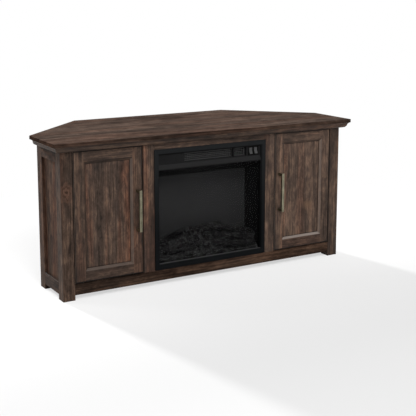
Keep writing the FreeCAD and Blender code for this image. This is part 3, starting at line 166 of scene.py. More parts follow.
# Door edges, gaps and bevels, where shade and light are painted: widths, shares, and ranges of a component
# of the face's direction
DOOR_EDGE_WIDTH = 0.0044
GAP_REACH = Vector((0.0044, 0.0, 0.0044))
GAP_FADE = 0.0008
EDGE_FADE = 0.6
PANEL_LAP = 0.0078
GROOVE_WIDTH = 0.004
GROOVE_SHADE = 0.8
FLANK_SHADE = 0.75
BEVEL_SHADE = 0.4
BEVEL_HIGHLIGHT_SHARE = 0.4
LEFT_BEVEL_LIGHT_SHARE = 0.4
BEVEL_POLISH = -0.26
FRONT_FACING = (-0.97, -0.9)
FLANK_FACING = (0.9, 0.97)
EDGE_FACING = (0.5, 0.9)
BEVEL_STEEP = (0.4, 0.6)
BEVEL_FLAT = (0.88, 0.97)
BEVEL_TURN = (0.2, 0.5)

# Fireplace insert: colours, then the places and widths of zones with painted light and painted shade
CHAR_COLOUR = (0.0012, 0.0012, 0.0012)
BARK_STOPS = (
    (0.36, (0.0034, 0.0034, 0.0034)), (0.5, (0.0092, 0.0091, 0.0090)), (0.68, (0.027, 0.0266, 0.0262)),
)
EMBER_STOPS = (
    (0.38, (0.0020, 0.0020, 0.0020)), (0.5, (0.0100, 0.0099, 0.0098)), (0.64, (0.032, 0.0316, 0.0312)),
)
FASCIA_STOPS = ((0.32, (0.0062, 0.0062, 0.0064)), (0.68, (0.0084, 0.0084, 0.0086)))
FLAME_STOPS = ((0.3, (0.0172, 0.0172, 0.0174)), (0.7, (0.022, 0.022, 0.0223)))
TRACK_STOPS = ((0.03, (0.05, 0.20, 0.09)), (0.10, (0.012, 0.075, 0.03)))
GLASS_COLOUR = (0.006, 0.0065, 0.007, 1.0)
GLASS_ALPHA = 0.05
# Painted light on the fascia's lip, which faces upwards
LIP_LIGHT_COLOUR = (0.0125, 0.0125, 0.0127)
# Painted highlight along the trim's lip under the window
SILL_HIGHLIGHT_COLOUR = (0.040, 0.040, 0.040)
# The switch plate is painted in shade
SWITCH_PLATE = (Vector((0.1599, 0.0, 0.4351)), Vector((0.2049, 0.0, 0.4681)))
PLATE_FADE = 0.0006
FASCIA_SHADE_WIDTH = 0.0052
# Widths of the painted shade at the border of the rockers and the grille
ROCKER_SHADE_RIM = 0.0028
GRILLE_SHADE_RIM = 0.0048
RIM_FADE = 0.7
RIM_FACING = (0.4, 0.7)
LIP_FACING = (0.05, 0.2)

# Painted highlight along the trim under the window: half its length, its height and half its width
SILL_HIGHLIGHT_LINE = (0.2145, 0.0787, 0.0012)

# Patterns of the insert and the metals: scale, detail, roughness and distortion, or the scale of cells
POWDER_CLOUD = (14.0, 4.0, 0.6)
POWDER_GRAIN = (700.0, 3.0, 0.6)
BRUSH_STRETCH = 0.05
BRUSH_NOISE = (520.0, 4.0, 0.6)
PATINA_NOISE = (38.0, 5.0, 0.62)
PLASTIC_CLOUD = (22.0, 3.0, 0.55)
PLASTIC_GRAIN = 420.0
ROCKER_GRAIN = 900.0
SMEAR_NOISE = (11.0, 5.0, 0.6, 0.6)
FLAME_CLOUD = (5.0, 3.0, 0.5)
BARK_PLATES = 62.0
FISSURE_NOISE = (130.0, 6.0, 0.7, 0.6)
CRACK_NOISE = (55.0, 4.0, 0.6, 0.5)
CRACK_WIDTH = 0.09
CRACK_SHARE = 0.8
COAL_CELLS = 120.0
ASH_NOISE = (60.0, 4.0, 0.62)
TRACK_CELLS = 160.0
CLOUD_RANGE = (0.3, 0.7)

# Bump of each surface: strength and depth
WOOD_BUMP = (0.22, 0.0006)
POWDER_BUMP = (0.12, 0.0003)
BRUSHED_BUMP = (0.10, 0.0002)
PLASTIC_BUMP = (0.12, 0.0002)
BARK_BUMP = (0.7, 0.0025)
COAL_BUMP = (0.6, 0.002)
TRACK_BUMP = (0.1, 0.0002)

AXES = {"x": 0, "y": 1, "z": 2}

# Logs: bark waves are given as pitch and share, and the dishes of an end as shrink and depth
LOG_RINGS = 110
LOG_SIDES = 96
LOG_BEND = 0.004
BARK_LUMP = 0.2
BARK_LUMP_WAVES = ((1.5, 0.9), (3.4, 0.6), (8.0, 0.4))
BARK_CREASE = 0.15
BARK_CREASE_WAVES = ((3.4, 1.0), (7.5, 0.55))
CREASE_DRAW = 0.3
CREASE_SHARPNESS = 4.5
END_DISHES = ((0.86, 0.0006), (0.6, 0.0022), (0.3, 0.0016))
END_ROUNDING = 0.10
END_ROUNDING_RUN = 0.003
TIP_TAPER = 0.5
TIP_CURVE = 1.5
TIP_JAG = 0.4
JAG_PITCH = 2.4
SAWN = 0.002

# Ember bed and the heap on its left
BED_FRONT_HEIGHT = 0.030
BED_CROWN_HEIGHT = 0.060
BED_BACK_HEIGHT = 0.066
HEAP_HEIGHT = 0.100
HEAP_LEFT_HEIGHT = 0.068
HEAP_FRONT_RUN = 0.030
HEAP_CREST_RUN = 0.026
HEAP_CREST_START = -0.090
HEAP_CREST_END = -0.010
HEAP_END = 0.110
BED_COLUMNS = 170
BED_ROWS = 60
BED_ROUGHNESS = 0.0032
BED_LUMP_PITCH = 34.0
BED_LUMP_LAYER = 2.5
BED_FINE_PITCH = 3.1
BED_FINE_SHARE = 0.6
BED_SINK = 1.2

# Loose coal: chunks on the bed, and lumps that cling to a log
CHUNK_SEED = 11
CHUNK_COUNT = 640
CHUNK_SIZES = (0.0042, 0.0090)
CHUNK_STRETCH = ((0.8, 1.5), (0.7, 1.1), (0.6, 1.0))
CHUNK_TURN = ((-0.6, 0.6), (-0.6, 0.6), (0.0, math.pi))
CHUNK_SUBDIVISIONS = 2
CHUNK_WOBBLE = 0.4
CHUNK_WOBBLE_PITCH = 1.6
CHUNK_STEP = 1.37
CHUNK_MARGIN = 1.6
CHUNK_LIFT = 0.2
FRONT_CHUNKS = 0.62
LUMP_SEED = 23
LUMP_COUNT = 110
LUMP_SIZES = (0.0036, 0.0068)
LUMP_SPAN = (0.04, 0.96)
LUMP_TURNS = (-0.35, 2.0)
LUMP_DEPTH = 0.9


class Shader:
    """Adds and links the nodes of one material."""

    def __init__(self, name):
        self.material = bpy.data.materials.new(name)
        self.material.use_nodes = True
        self.tree = self.material.node_tree
        self.surface = self.tree.nodes["Principled BSDF"]

    def add(self, kind, **settings):
        node = self.tree.nodes.new(kind)
        for key, value in settings.items():
            setattr(node, key, value)
        return node

    def feed(self, socket, value):
        """Links an output to the socket, or sets the socket's own value."""
        if isinstance(value, bpy.types.NodeSocket):
            self.tree.links.new(value, socket)
        else:
            socket.default_value = value

    def set(self, **values):
        """Feeds sockets of the surface shader, named with _ for spaces."""
        for key, value in values.items():
            self.feed(self.surface.inputs[key.replace("_", " ")], value)

    def coordinates(self, scale=(1.0, 1.0, 1.0), shift=(0.0, 0.0, 0.0)):
        """Places in the part's frame, scaled and shifted."""
        place = self.add("ShaderNodeTexCoord")
        mapping = self.add("ShaderNodeMapping")
        self.feed(mapping.inputs["Vector"], place.outputs["Object"])
        mapping.inputs["Scale"].default_value = scale
        mapping.inputs["Location"].default_value = shift
        return mapping.outputs["Vector"]

    def noise(self, vector, scale, detail=2.0, roughness=0.5, distortion=0.0):
        node = self.add("ShaderNodeTexNoise")
        self.feed(node.inputs["Vector"], vector)
        node.inputs["Scale"].default_value = scale
        node.inputs["Detail"].default_value = detail
        node.inputs["Roughness"].default_value = roughness
        node.inputs["Distortion"].default_value = distortion
        return node.outputs["Fac"]

    def wave(self, vector, scale, distortion, detail, detail_scale, direction):
        node = self.add("ShaderNodeTexWave", bands_direction=direction)
        self.feed(node.inputs["Vector"], vector)
        node.inputs["Scale"].default_value = scale
        node.inputs["Distortion"].default_value = distortion
        node.inputs["Detail"].default_value = detail
        node.inputs["Detail Scale"].default_value = detail_scale
        return node.outputs["Fac"]

    def cells(self, vector, scale, feature="F1"):
        node = self.add("ShaderNodeTexVoronoi", feature=feature)
        self.feed(node.inputs["Vector"], vector)
        node.inputs["Scale"].default_value = scale
        return node.outputs["Distance"]

    def math(self, operation, first, second=0.0):
        node = self.add("ShaderNodeMath", operation=operation)
        self.feed(node.inputs[0], first)
        self.feed(node.inputs[1], second)
        return node.outputs["Value"]

    def blend(self, *shares, offset=0.0):
        """Sums values, each with its share."""
        total = offset
        for value, share in shares:
            node = self.add("ShaderNodeMath", operation="MULTIPLY_ADD")
            self.feed(node.inputs[0], value)
            node.inputs[1].default_value = share
            self.feed(node.inputs[2], total)
            total = node.outputs["Value"]
        return total

    def spread(self, value, low, high, to_low=0.0, to_high=1.0):
        """Maps one range of a value smoothly onto another."""
        node = self.add("ShaderNodeMapRange", interpolation_type="SMOOTHSTEP")
        self.feed(node.inputs["Value"], value)
        limits = {"From Min": low, "From Max": high, "To Min": to_low, "To Max": to_high}
        for name, number in limits.items():
            node.inputs[name].default_value = number
        return node.outputs["Result"]

    def ramp(self, value, stops):
        node = self.add("ShaderNodeValToRGB")
        self.feed(node.inputs["Fac"], value)
        elements = node.color_ramp.elements
        while len(elements) < len(stops):
            elements.new(0.5)
        for element, (place, colour) in zip(elements, stops):
            element.position = place
            element.color = (*colour, 1.0)
        return node.outputs["Color"]

    def mix(self, factor, first, second, blend="MIX"):
        node = self.add("ShaderNodeMix", data_type="RGBA", blend_type=blend)
        self.feed(node.inputs[0], factor)
        for socket, value in ((node.inputs[6], first), (node.inputs[7], second)):
            self.feed(socket, value if isinstance(value, bpy.types.NodeSocket) else (*value, 1.0))
        return node.outputs[2]

    def bump(self, height, strength, distance):
        node = self.add("ShaderNodeBump")
        node.inputs["Strength"].default_value = strength
        node.inputs["Distance"].default_value = distance
        self.feed(node.inputs["Height"], height)
        self.feed(self.surface.inputs["Normal"], node.outputs["Normal"])


# Materials

def stretched(axis, share):
    """Scale that draws a texture out along one axis."""
    scale = [1.0, 1.0, 1.0]
    scale[AXES[axis]] = share
    return scale


def scaled(values, factor):
    """The parts of a colour, or the ends of a range, times a factor."""
    return [factor * value for value in values]


def inset(s, low, high):
    """How far a place lies inside the x and z limits of a box."""
    axes = s.add("ShaderNodeSeparateXYZ")
    s.feed(axes.inputs[0], s.coordinates())
    nearest = 1.0
    for output, start, end in (("X", low.x, high.x), ("Z", low.z, high.z)):
        from_middle = s.math("ABSOLUTE", s.math("SUBTRACT", axes.outputs[output], (start + end) / 2.0))
        nearest = s.math("MINIMUM", nearest, s.math("SUBTRACT", (end - start) / 2.0, from_middle))
    return nearest


def normal_axis(s, axis):
    """One component of the direction that a face looks in."""
    place = s.add("ShaderNodeTexCoord")
    axes = s.add("ShaderNodeSeparateXYZ")
    s.feed(axes.inputs[0], place.outputs["Normal"])
    return axes.outputs[axis]


def bevel_shares(s):
    """Marks the bevels of a door frame by the way they face: upwards and leftwards, which get painted
    light, and the other ones, which get painted shade.
    """
    ahead = s.math("ABSOLUTE", normal_axis(s, "Y"))
    bevel = s.math("MULTIPLY", s.spread(ahead, *BEVEL_STEEP), s.spread(ahead, *BEVEL_FLAT, 1.0, 0.0))
    start, end = BEVEL_TURN
    upward = s.math("MULTIPLY", bevel, s.spread(normal_axis(s, "Z"), start, end))
    leftward = s.math("MULTIPLY", bevel, s.spread(normal_axis(s, "X"), -end, -start, 1.0, 0.0))
    return upward, leftward, s.blend((upward, -1.0), (leftward, -1.0), (bevel, 1.0))


def wood(name, axis, seed, stops=WALNUT_STOPS, roughness=WOOD_ROUGHNESS, shine=WOOD_SHINE, red=RED_SHARE,
         stained=STAIN_SHARE, tone=1.0, knots=(), blazes=(), door=None, bevel=BEVEL_HIGHLIGHT_SHARE, recess=None,
         edge_shade=None, beside=()):
    """Stained veneer: bands, streaks, red heartwood, dark stains and open pores along one axis; where
    asked, also painted shade along door edges, gaps, grooves, bevels and upright faces, and painted light
    on door bevels.
    """
    s = Shader(name)
    shift = [share * seed for share in SEED_SHIFT]
    bands = s.coordinates(stretched(axis, BAND_STRETCH), shift)
    grain = s.coordinates(stretched(axis, GRAIN_STRETCH), shift)
    strands = s.coordinates(stretched(axis, FINE_STRETCH), shift)
    patch = s.coordinates(stretched(axis, STAIN_STRETCH), shift)
    broad = s.noise(bands, *BROAD_NOISE)
    lines = s.wave(bands, *LINE_WAVE, "Y" if axis == "x" else "X")
    streak = s.noise(grain, *STREAK_NOISE)
    fine = s.noise(strands, *FINE_NOISE)
    mottle = s.noise(patch, *MOTTLE_NOISE)
    pores = s.noise(strands, *PORE_NOISE)
    heart = s.noise(grain, *HEART_NOISE)
    stain = s.noise(patch, *STAIN_NOISE)
    figure = s.blend(
        (streak, STREAK_SHARE), (broad, BROAD_SHARE), (fine, FINE_SHARE), (mottle, MOTTLE_SHARE),
        (lines, LINE_SHARE), offset=FIGURE_OFFSET,
    )
    colour = s.ramp(figure, [(place, scaled(stop, tone)) for place, stop in stops])
    colour = s.mix(s.spread(heart, *HEART_RANGE, 0.0, red), colour, RED_TINT, "MULTIPLY")
    colour = s.mix(s.spread(stain, *STAIN_RANGE, 0.0, stained), colour, STAIN_COLOUR)
    for place, radius in blazes:
        distance = spot_distance(s, axis, place, radius)
        nearby = s.spread(distance, *scaled(BLAZE_RUN, radius), BLAZE_SHARE, 0.0)
        colour = s.mix(nearby, colour, BLAZE_COLOUR)
    colour = s.mix(s.spread(pores, *PORE_RANGE, PORE_SHARE, 0.0), colour, PORE_AND_SHADE_COLOUR)
    for place, radius in knots:
        colour = knotted(s, colour, axis, place, radius)
    # Painted shade: upright faces are multiplied by the tint, darker than the lit upper face
    if edge_shade:
        in_edge_shade = s.spread(s.math("ABSOLUTE", normal_axis(s, "Z")), *EDGE_FACING, 1.0, 0.0)
        colour = s.mix(in_edge_shade, colour, edge_shade, "MULTIPLY")
    rough = s.spread(streak, *STREAK_RANGE, *roughness)
    in_front = s.spread(normal_axis(s, "Y"), *FRONT_FACING, 1.0, 0.0)
    # Painted shade: a dark line on the front faces beside a door, where the gap's shadow falls
    for low, high in beside:
        by_gap = s.spread(inset(s, low - GAP_REACH, high + GAP_REACH), 0.0, GAP_FADE)
        colour = s.mix(s.math("MULTIPLY", by_gap, in_front), colour, PAINTED_SHADE_COLOUR)
    if door:
        # Painted shade: a dark border on the door's front faces and flanks, for the shadow in the gap
        # around it
        at_edge = s.spread(inset(s, *door), EDGE_FADE * DOOR_EDGE_WIDTH, DOOR_EDGE_WIDTH, 1.0, 0.0)
        on_flank = s.spread(s.math("ABSOLUTE", normal_axis(s, "X")), *FLANK_FACING, 0.0, FLANK_SHADE)
        shaded = s.math("MULTIPLY", at_edge, s.math("MAXIMUM", in_front, on_flank))
        colour = s.mix(shaded, colour, PAINTED_SHADE_COLOUR)
        # Painted shade on bevels that face right or down, a painted highlight on those that face up,
        # fainter painted light on those that face left
        upward, leftward, others = bevel_shares(s)
        colour = s.mix(s.blend((others, BEVEL_SHADE)), colour, PORE_AND_SHADE_COLOUR)
        pale = s.blend((upward, bevel), (leftward, LEFT_BEVEL_LIGHT_SHARE))
        colour = s.mix(pale, colour, scaled(BEVEL_HIGHLIGHT_COLOUR, tone))
        rough = s.blend((rough, 1.0), (upward, BEVEL_POLISH))
    # Painted shade where the panel meets the frame's bevel
    if recess:
        groove = s.spread(inset(s, *recess), PANEL_LAP, PANEL_LAP + GROOVE_WIDTH, GROOVE_SHADE, 0.0)
        colour = s.mix(groove, colour, PAINTED_SHADE_COLOUR)
    s.set(Base_Color=colour, Roughness=rough, Specular_IOR_Level=shine)
    s.bump(s.blend((pores, 1.0), (streak, STREAK_BUMP)), *WOOD_BUMP)
    return s.material


def spot_distance(s, axis, place, radius):
    """Ragged distance from a place in the wood, longer along the grain."""
    scale = stretched(axis, SPOT_STRETCH)
    vector = s.coordinates(scale, [-coordinate * share for coordinate, share in zip(place, scale)])
    length = s.add("ShaderNodeVectorMath", operation="LENGTH")
    s.feed(length.inputs[0], vector)
    ragged = s.noise(vector, SPOT_PITCH / radius, SPOT_DETAIL, SPOT_ROUGHNESS)
    sway = SPOT_RAGGED * radius
    return s.blend((length.outputs["Value"], 1.0), (ragged, sway), offset=-sway / 2.0)


def knotted(s, colour, axis, place, radius):
    """Draws a knot into the colour: a red halo, a ragged ring and a dark heart, longer along the grain."""
    distance = spot_distance(s, axis, place, radius)
    colour = s.mix(s.spread(distance, *scaled(HALO_RUN, radius), HALO_SHARE, 0.0), colour, KNOT_HALO)
    from_ring = s.math("ABSOLUTE", s.math("SUBTRACT", distance, radius))
    ring = s.spread(from_ring, 0.0, RING_RUN * radius, RING_SHARE, 0.0)
    heart = s.spread(distance, *scaled(HEART_RUN, radius), HEART_SHARE, 0.0)
    return s.mix(s.math("MAXIMUM", ring, heart), colour, KNOT_DARK)


def coated_metal(name, dark, light, roughness, shine=0.14, highlight_line=None, brighter=None):
    """Sheet metal with a fine powder coat; where asked, paler towards its top, and where asked, a painted
    highlight along a level line.
    """
    s = Shader(name)
    place = s.coordinates()
    cloud = s.noise(place, *POWDER_CLOUD)
    fine = s.noise(place, *POWDER_GRAIN)
    colour = s.ramp(cloud, ((0.3, dark), (0.7, light)))
    axes = s.add("ShaderNodeSeparateXYZ")
    s.feed(axes.inputs[0], place)
    if brighter:
        low, high, tone = brighter
        colour = s.mix(s.spread(axes.outputs["Z"], low, high), colour, tone)
    # Painted highlight: a thin pale line along a level line, on the trim's lip under the window
    if highlight_line:
        half_length, height, half_width = highlight_line
        from_line = s.math("ABSOLUTE", s.math("SUBTRACT", axes.outputs["Z"], height))
        on_line = s.spread(from_line, EDGE_FADE * half_width, half_width, 1.0, 0.0)
        from_middle = s.math("ABSOLUTE", axes.outputs["X"])
        within = s.spread(from_middle, half_length - half_width, half_length, 1.0, 0.0)
        colour = s.mix(s.math("MULTIPLY", on_line, within), colour, SILL_HIGHLIGHT_COLOUR)
    s.set(
        Base_Color=colour,
        Roughness=s.spread(cloud, *CLOUD_RANGE, *roughness),
        Specular_IOR_Level=shine,
    )
    s.bump(fine, *POWDER_BUMP)
    return s.material


def brushed_metal(name, dark, light, roughness, axis, metallic=1.0):
    """Bare or plated metal with streaks along one axis."""
    s = Shader(name)
    grain = s.coordinates(stretched(axis, BRUSH_STRETCH))
    streak = s.noise(grain, *BRUSH_NOISE)
    patina = s.noise(s.coordinates(), *PATINA_NOISE)
    colour = s.ramp(s.blend((streak, 0.5), (patina, 0.5)), ((0.35, dark), (0.65, light)))
    s.set(
        Base_Color=colour,
        Metallic=metallic,
        Roughness=s.spread(streak, *CLOUD_RANGE, *roughness),
    )
    s.bump(streak, *BRUSHED_BUMP)
    return s.material


def moulded_plastic(name, dark, light, roughness, grain=PLASTIC_GRAIN, shine=0.15, rim=None):
    """Moulded plastic with a fine spark texture; where asked, painted shade turns its flanks and its border
    near black.
    """
    s = Shader(name)
    place = s.coordinates()
    cloud = s.noise(place, *PLASTIC_CLOUD)
    texture = s.cells(place, grain)
    colour = s.ramp(cloud, ((0.32, dark), (0.68, light)))
    # Painted shade: flanks and border go near black
    if rim:
        low, high, width = rim
        flank = s.spread(s.math("ABSOLUTE", normal_axis(s, "X")), *RIM_FACING)
        border = s.spread(inset(s, low, high), RIM_FADE * width, width, 1.0, 0.0)
        colour = s.mix(s.math("MAXIMUM", flank, border), colour, PAINTED_SHADE_COLOUR)
    s.set(
        Base_Color=colour,
        Roughness=s.spread(cloud, *CLOUD_RANGE, *roughness),
        Specular_IOR_Level=shine,
    )
    s.bump(texture, *PLASTIC_BUMP)
    return s.material


def fascia_material(name):
    """Moulded black plastic with painted light on its upward-facing lip, and painted shade over the switch
    plate and along the top under the trim.
    """
    s = Shader(name)
    place = s.coordinates()
    cloud = s.noise(place, *PLASTIC_CLOUD)
    low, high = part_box("heater_fascia")
    beyond = high - low
    from_top = inset(s, low - beyond, Vector((high.x + beyond.x, high.y, high.z)))
    in_shade = s.spread(from_top, EDGE_FADE * FASCIA_SHADE_WIDTH, FASCIA_SHADE_WIDTH, 1.0, 0.0)
    on_plate = s.spread(inset(s, *SWITCH_PLATE), 0.0, PLATE_FADE)
    colour = s.ramp(cloud, FASCIA_STOPS)
    # Painted light: the upward-facing lip is paler
    colour = s.mix(s.spread(normal_axis(s, "Z"), *LIP_FACING), colour, LIP_LIGHT_COLOUR)
    # Painted shade over the switch plate and along the top under the trim
    dull = s.math("MAXIMUM", in_shade, on_plate)
    s.set(
        Base_Color=s.mix(dull, colour, PAINTED_SHADE_COLOUR),
        Roughness=s.spread(cloud, *CLOUD_RANGE, 0.46, 0.6),
        Specular_IOR_Level=0.05,
    )
    s.bump(s.cells(place, PLASTIC_GRAIN), *PLASTIC_BUMP)
    return s.material


def window_glass_material(name):
    """Thin clear glass with a faint smoky tint and wipe marks."""
    s = Shader(name)
    smear = s.noise(s.coordinates(stretched("z", 0.3)), *SMEAR_NOISE)
    s.set(
        Base_Color=GLASS_COLOUR,
        Roughness=s.spread(smear, 0.35, 0.75, 0.01, 0.07),
        Alpha=GLASS_ALPHA,
        Specular_IOR_Level=0.4,
    )
    return s.material


def flame_panel_material(name):
    """Smoked screen, a little paler where the light behind it would show."""
    s = Shader(name)
    cloud = s.noise(s.coordinates(stretched("z", 0.35)), *FLAME_CLOUD)
    colour = s.ramp(cloud, FLAME_STOPS)
    s.set(
        Base_Color=colour,
        Roughness=s.spread(cloud, *CLOUD_RANGE, 0.5, 0.64),
        Specular_IOR_Level=0.08,
    )
    return s.material


def bark_material(name, tone):
    """Charred moulded bark with long cracks along the log."""
    s = Shader(name)
    grain = s.coordinates(stretched("x", 0.22))
    plates = s.cells(grain, BARK_PLATES)
    fissure = s.noise(grain, *FISSURE_NOISE)
    crack = s.noise(s.coordinates(stretched("x", 0.14)), *CRACK_NOISE)
    from_crack = s.math("ABSOLUTE", s.math("SUBTRACT", crack, 0.5))
    in_crack = s.spread(from_crack, 0.0, CRACK_WIDTH, CRACK_SHARE, 0.0)
    relief = s.blend((plates, 0.45), (fissure, 0.55))
    colour = s.ramp(relief, [(place, scaled(stop, tone)) for place, stop in BARK_STOPS])
    s.set(
        Base_Color=s.mix(in_crack, colour, CHAR_COLOUR),
        Roughness=s.spread(fissure, *CLOUD_RANGE, 0.76, 0.94),
        Specular_IOR_Level=0.0,
    )
    s.bump(s.blend((relief, 1.0), (in_crack, -CRACK_SHARE)), *BARK_BUMP)
    return s.material


def ember_material(name):
    """Granular ember bed: dull coal, some lumps pale with ash."""
    s = Shader(name)
    place = s.coordinates()
    lumps = s.cells(place, COAL_CELLS)
    ash = s.noise(place, *ASH_NOISE)
    colour = s.ramp(s.blend((lumps, 0.3), (ash, 0.7)), EMBER_STOPS)
    s.set(
        Base_Color=colour,
        Roughness=s.spread(ash, *CLOUD_RANGE, 0.78, 0.96),
        Specular_IOR_Level=0.0,
    )
    s.bump(lumps, *COAL_BUMP)
    return s.material


def circuit_material(name):
    """Green board with lighter tracks."""
    s = Shader(name)
    place = s.coordinates()
    track = s.cells(place, TRACK_CELLS, "DISTANCE_TO_EDGE")
    colour = s.ramp(track, TRACK_STOPS)
    s.set(
        Base_Color=colour,
        Roughness=s.spread(track, 0.0, 0.2, 0.3, 0.5),
    )
    s.bump(track, *TRACK_BUMP)
    return s.material


def dress(name, material):
    """Gives a carried-over node its material."""
    mesh = nodes[name].data
    mesh.materials.clear()
    mesh.materials.append(material)


GRAIN = {
    "x": ("cornice", "sub_top", "bottom_rail", "header_rail", "left_door_rails", "right_door_rails"),
    "y": ("side_rails",),
    "z": (
        "front_post_left", "front_post_right", "rear_post_left", "rear_post_right",
        "side_panel_left", "side_panel_right", "center_stile_left", "center_stile_right",
        "left_door_stiles", "right_door_stiles", "left_door_panel", "right_door_panel",
    ),
}
INNER_GRAIN = {
    "x": ("bottom_panel", "shelf_left", "shelf_right", "back_stretchers"),
    "z": ("partitions", "back_panels", "back_legs"),
}
KNOTS = {
    "right_door_panel": (((0.328, -0.214, 0.401), 0.007), ((0.336, -0.214, 0.372), 0.004)),
    "front_post_left": (((-0.557, -0.222, 0.372), 0.013),),
}
BLAZES = {"right_door_panel": (((0.4388, -0.214, 0.2096), 0.022),)}
RED_SHARES = {
    "center_stile_left": 0.8, "center_stile_right": 0.9, "left_door_panel": 1.0, "bottom_rail": 0.25,
    "side_panel_left": 1.0, "side_panel_right": 1.0, "left_door_stiles": 0.6, "left_door_rails": 0.6,
    "front_post_left": 0.6,
}
STAIN_SHARES = {
    "left_door_panel": 0.55, "right_door_panel": 0.2, "right_door_stiles": 0.3, "right_door_rails": 0.3,
}
TONES = {
    "left_door_panel": 1.32, "right_door_panel": 1.58, "right_door_stiles": 1.4, "right_door_rails": 1.4,
    "bottom_rail": 0.65, "center_stile_left": 1.3, "center_stile_right": 1.5, "header_rail": 1.3,
    "front_post_left": 1.2,
}
# Share of the painted highlight on door bevels that face up
BEVEL_HIGHLIGHTS = {"right_door_rails": 0.95}
SHINES = {
    "bottom_rail": 0.0, "side_panel_left": 0.03, "side_panel_right": 0.03, "side_rails": 0.04,
    "rear_post_left": 0.04, "rear_post_right": 0.04, "front_post_left": 0.06,
}


def door_box(name):
    """Limits of the door that a stile or rail belongs to."""
    if not name.endswith(("_door_stiles", "_door_rails")):
        return None
    side = name.split("_")[0]
    lows, highs = zip(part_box(side + "_door_stiles"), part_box(side + "_door_rails"))
    return Vector(map(min, *lows)), Vector(map(max, *highs))


# Pieces beside a door, which get a painted shade line along the gap
GAP_SIDES = (
    "front_post_left", "front_post_right", "center_stile_left", "center_stile_right", "bottom_rail",
)
door_boxes = [door_box(side + "_door_stiles") for side in ("left", "right")]
seed = 0
for axis, names in GRAIN.items():
    for name in names:
        seed += 1
        look = wood(
            "walnut_" + name, axis, seed,
            shine=SHINES.get(name, WOOD_SHINE),
            red=RED_SHARES.get(name, RED_SHARE),
            stained=STAIN_SHARES.get(name, STAIN_SHARE),
            tone=TONES.get(name, 1.0),
            knots=KNOTS.get(name, ()),
            blazes=BLAZES.get(name, ()),
            door=door_box(name),
            bevel=BEVEL_HIGHLIGHTS.get(name, BEVEL_HIGHLIGHT_SHARE),
            recess=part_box(name) if name.endswith("_door_panel") else None,
            beside=door_boxes if name in GAP_SIDES else (),
        )
        dress(name, look)
for axis, names in INNER_GRAIN.items():
    for name in names:
        seed += 1
        dress(name, wood("board_" + name, axis, seed, INNER_STOPS, DULL_ROUGHNESS, shine=0.0))
# The top: paler stops with a painted sheen, and painted shade on its upright faces
dress("top_panel", wood(
    "walnut_top", "x", seed + 1, TOP_STOPS_WITH_SHEEN, DULL_ROUGHNESS, shine=0.0, edge_shade=TOP_EDGE_SHADE,
))

brass = brushed_metal("antique_brass", (0.075, 0.070, 0.048), (0.31, 0.29, 0.205), (0.30, 0.46), "z")
steel = brushed_metal("plated_steel", (0.30, 0.30, 0.30), (0.52, 0.52, 0.53), (0.26, 0.42), "z")
motor = brushed_metal("motor_steel", (0.20, 0.20, 0.21), (0.36, 0.36, 0.37), (0.34, 0.5), "x")
bright = brushed_metal("bright_sheet", (0.55, 0.55, 0.56), (0.78, 0.78, 0.79), (0.2, 0.34), "x")
dark_bronze = brushed_metal("dark_bronze", (0.012, 0.010, 0.008), (0.030, 0.025, 0.020), (0.46, 0.6), "z")
heater_metal = brushed_metal(
    "heater_metal", (0.004, 0.004, 0.004), (0.012, 0.0115, 0.011), (0.55, 0.7), "x", 0.3,
)
trim_coat = coated_metal(
    "black_trim", (0.0014, 0.0019, 0.0023), (0.0024, 0.0030, 0.0035), (0.46, 0.6), 0.055, SILL_HIGHLIGHT_LINE,
    (0.12, 0.48, (0.0085, 0.0092, 0.0098)),
)
sheet_coat = coated_metal(
    "black_sheet", (0.0012, 0.0012, 0.0013), (0.0024, 0.0024, 0.0025), (0.65, 0.8), 0.04,
)
grille_coat = moulded_plastic(
    "black_grille", (0.027, 0.027, 0.027), (0.040, 0.040, 0.040), (0.45, 0.6),
    rim=(*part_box("outlet_grille"), GRILLE_SHADE_RIM),
)
gland_plastic = moulded_plastic(
    "gland_plastic", (0.0098, 0.0098, 0.0101), (0.0135, 0.0135, 0.0138), (0.46, 0.6),
)
housing_plastic = moulded_plastic(
    "housing_plastic", (0.0020, 0.0020, 0.0021), (0.0034, 0.0034, 0.0035), (0.5, 0.62), shine=0.02,
)
for name in ("power_rocker", "heat_rocker"):
    dress(name, moulded_plastic(
        name + "_plastic", (0.036, 0.036, 0.0365), (0.050, 0.050, 0.0505), (0.4, 0.5), ROCKER_GRAIN,
        rim=(*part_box(name), ROCKER_SHADE_RIM),
    ))
catch_plastic = moulded_plastic("catch_plastic", (0.03, 0.02, 0.015), (0.045, 0.031, 0.024), (0.4, 0.55))
bark = bark_material("grey_bark", 1.35)
charred = bark_material("charred_bark", 0.7)
embers = ember_material("ember_coal")
circuit = circuit_material("circuit_board")

LOOKS = (
    (brass, ("left_handle", "right_handle")),
    (steel, (
        "left_handle_screws", "right_handle_screws", "left_strike_plate", "right_strike_plate",
        "shelf_pins", "mounting_brackets", "spinner_brackets",
    )),
    (dark_bronze, ("left_pivot_pins", "right_pivot_pins", "hinge_sockets")),
    (heater_metal, ("heating_element", "blower_wheel")),
    (motor, ("spinner_motor", "blower_motor")),
    (bright, ("flame_spinner",)),
    (trim_coat, ("trim_frame",)),
    (sheet_coat, ("casing", "blower_housing")),
    (grille_coat, ("outlet_grille",)),
    (fascia_material("fascia_plastic"), ("heater_fascia",)),
    (gland_plastic, ("cord_gland",)),
    (housing_plastic, ("switch_housings",)),
    (catch_plastic, ("door_catches",)),
    (circuit, ("control_board", "light_bar")),
    (window_glass_material("window_glass"), ("window_glass",)),
    (flame_panel_material("flame_panel"), ("flame_screen",)),
)
for material, names in LOOKS:
    for name in names:
        dress(name, material)


# Log set and ember bed

def new_piece(name, mesh, material, body):
    """Links a finished mesh as a piece that moves with a body."""
    mesh.materials.append(material)
    piece = bpy.data.objects.new(name, mesh)
    bpy.context.scene.collection.objects.link(piece)
    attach(piece, body)
    return piece


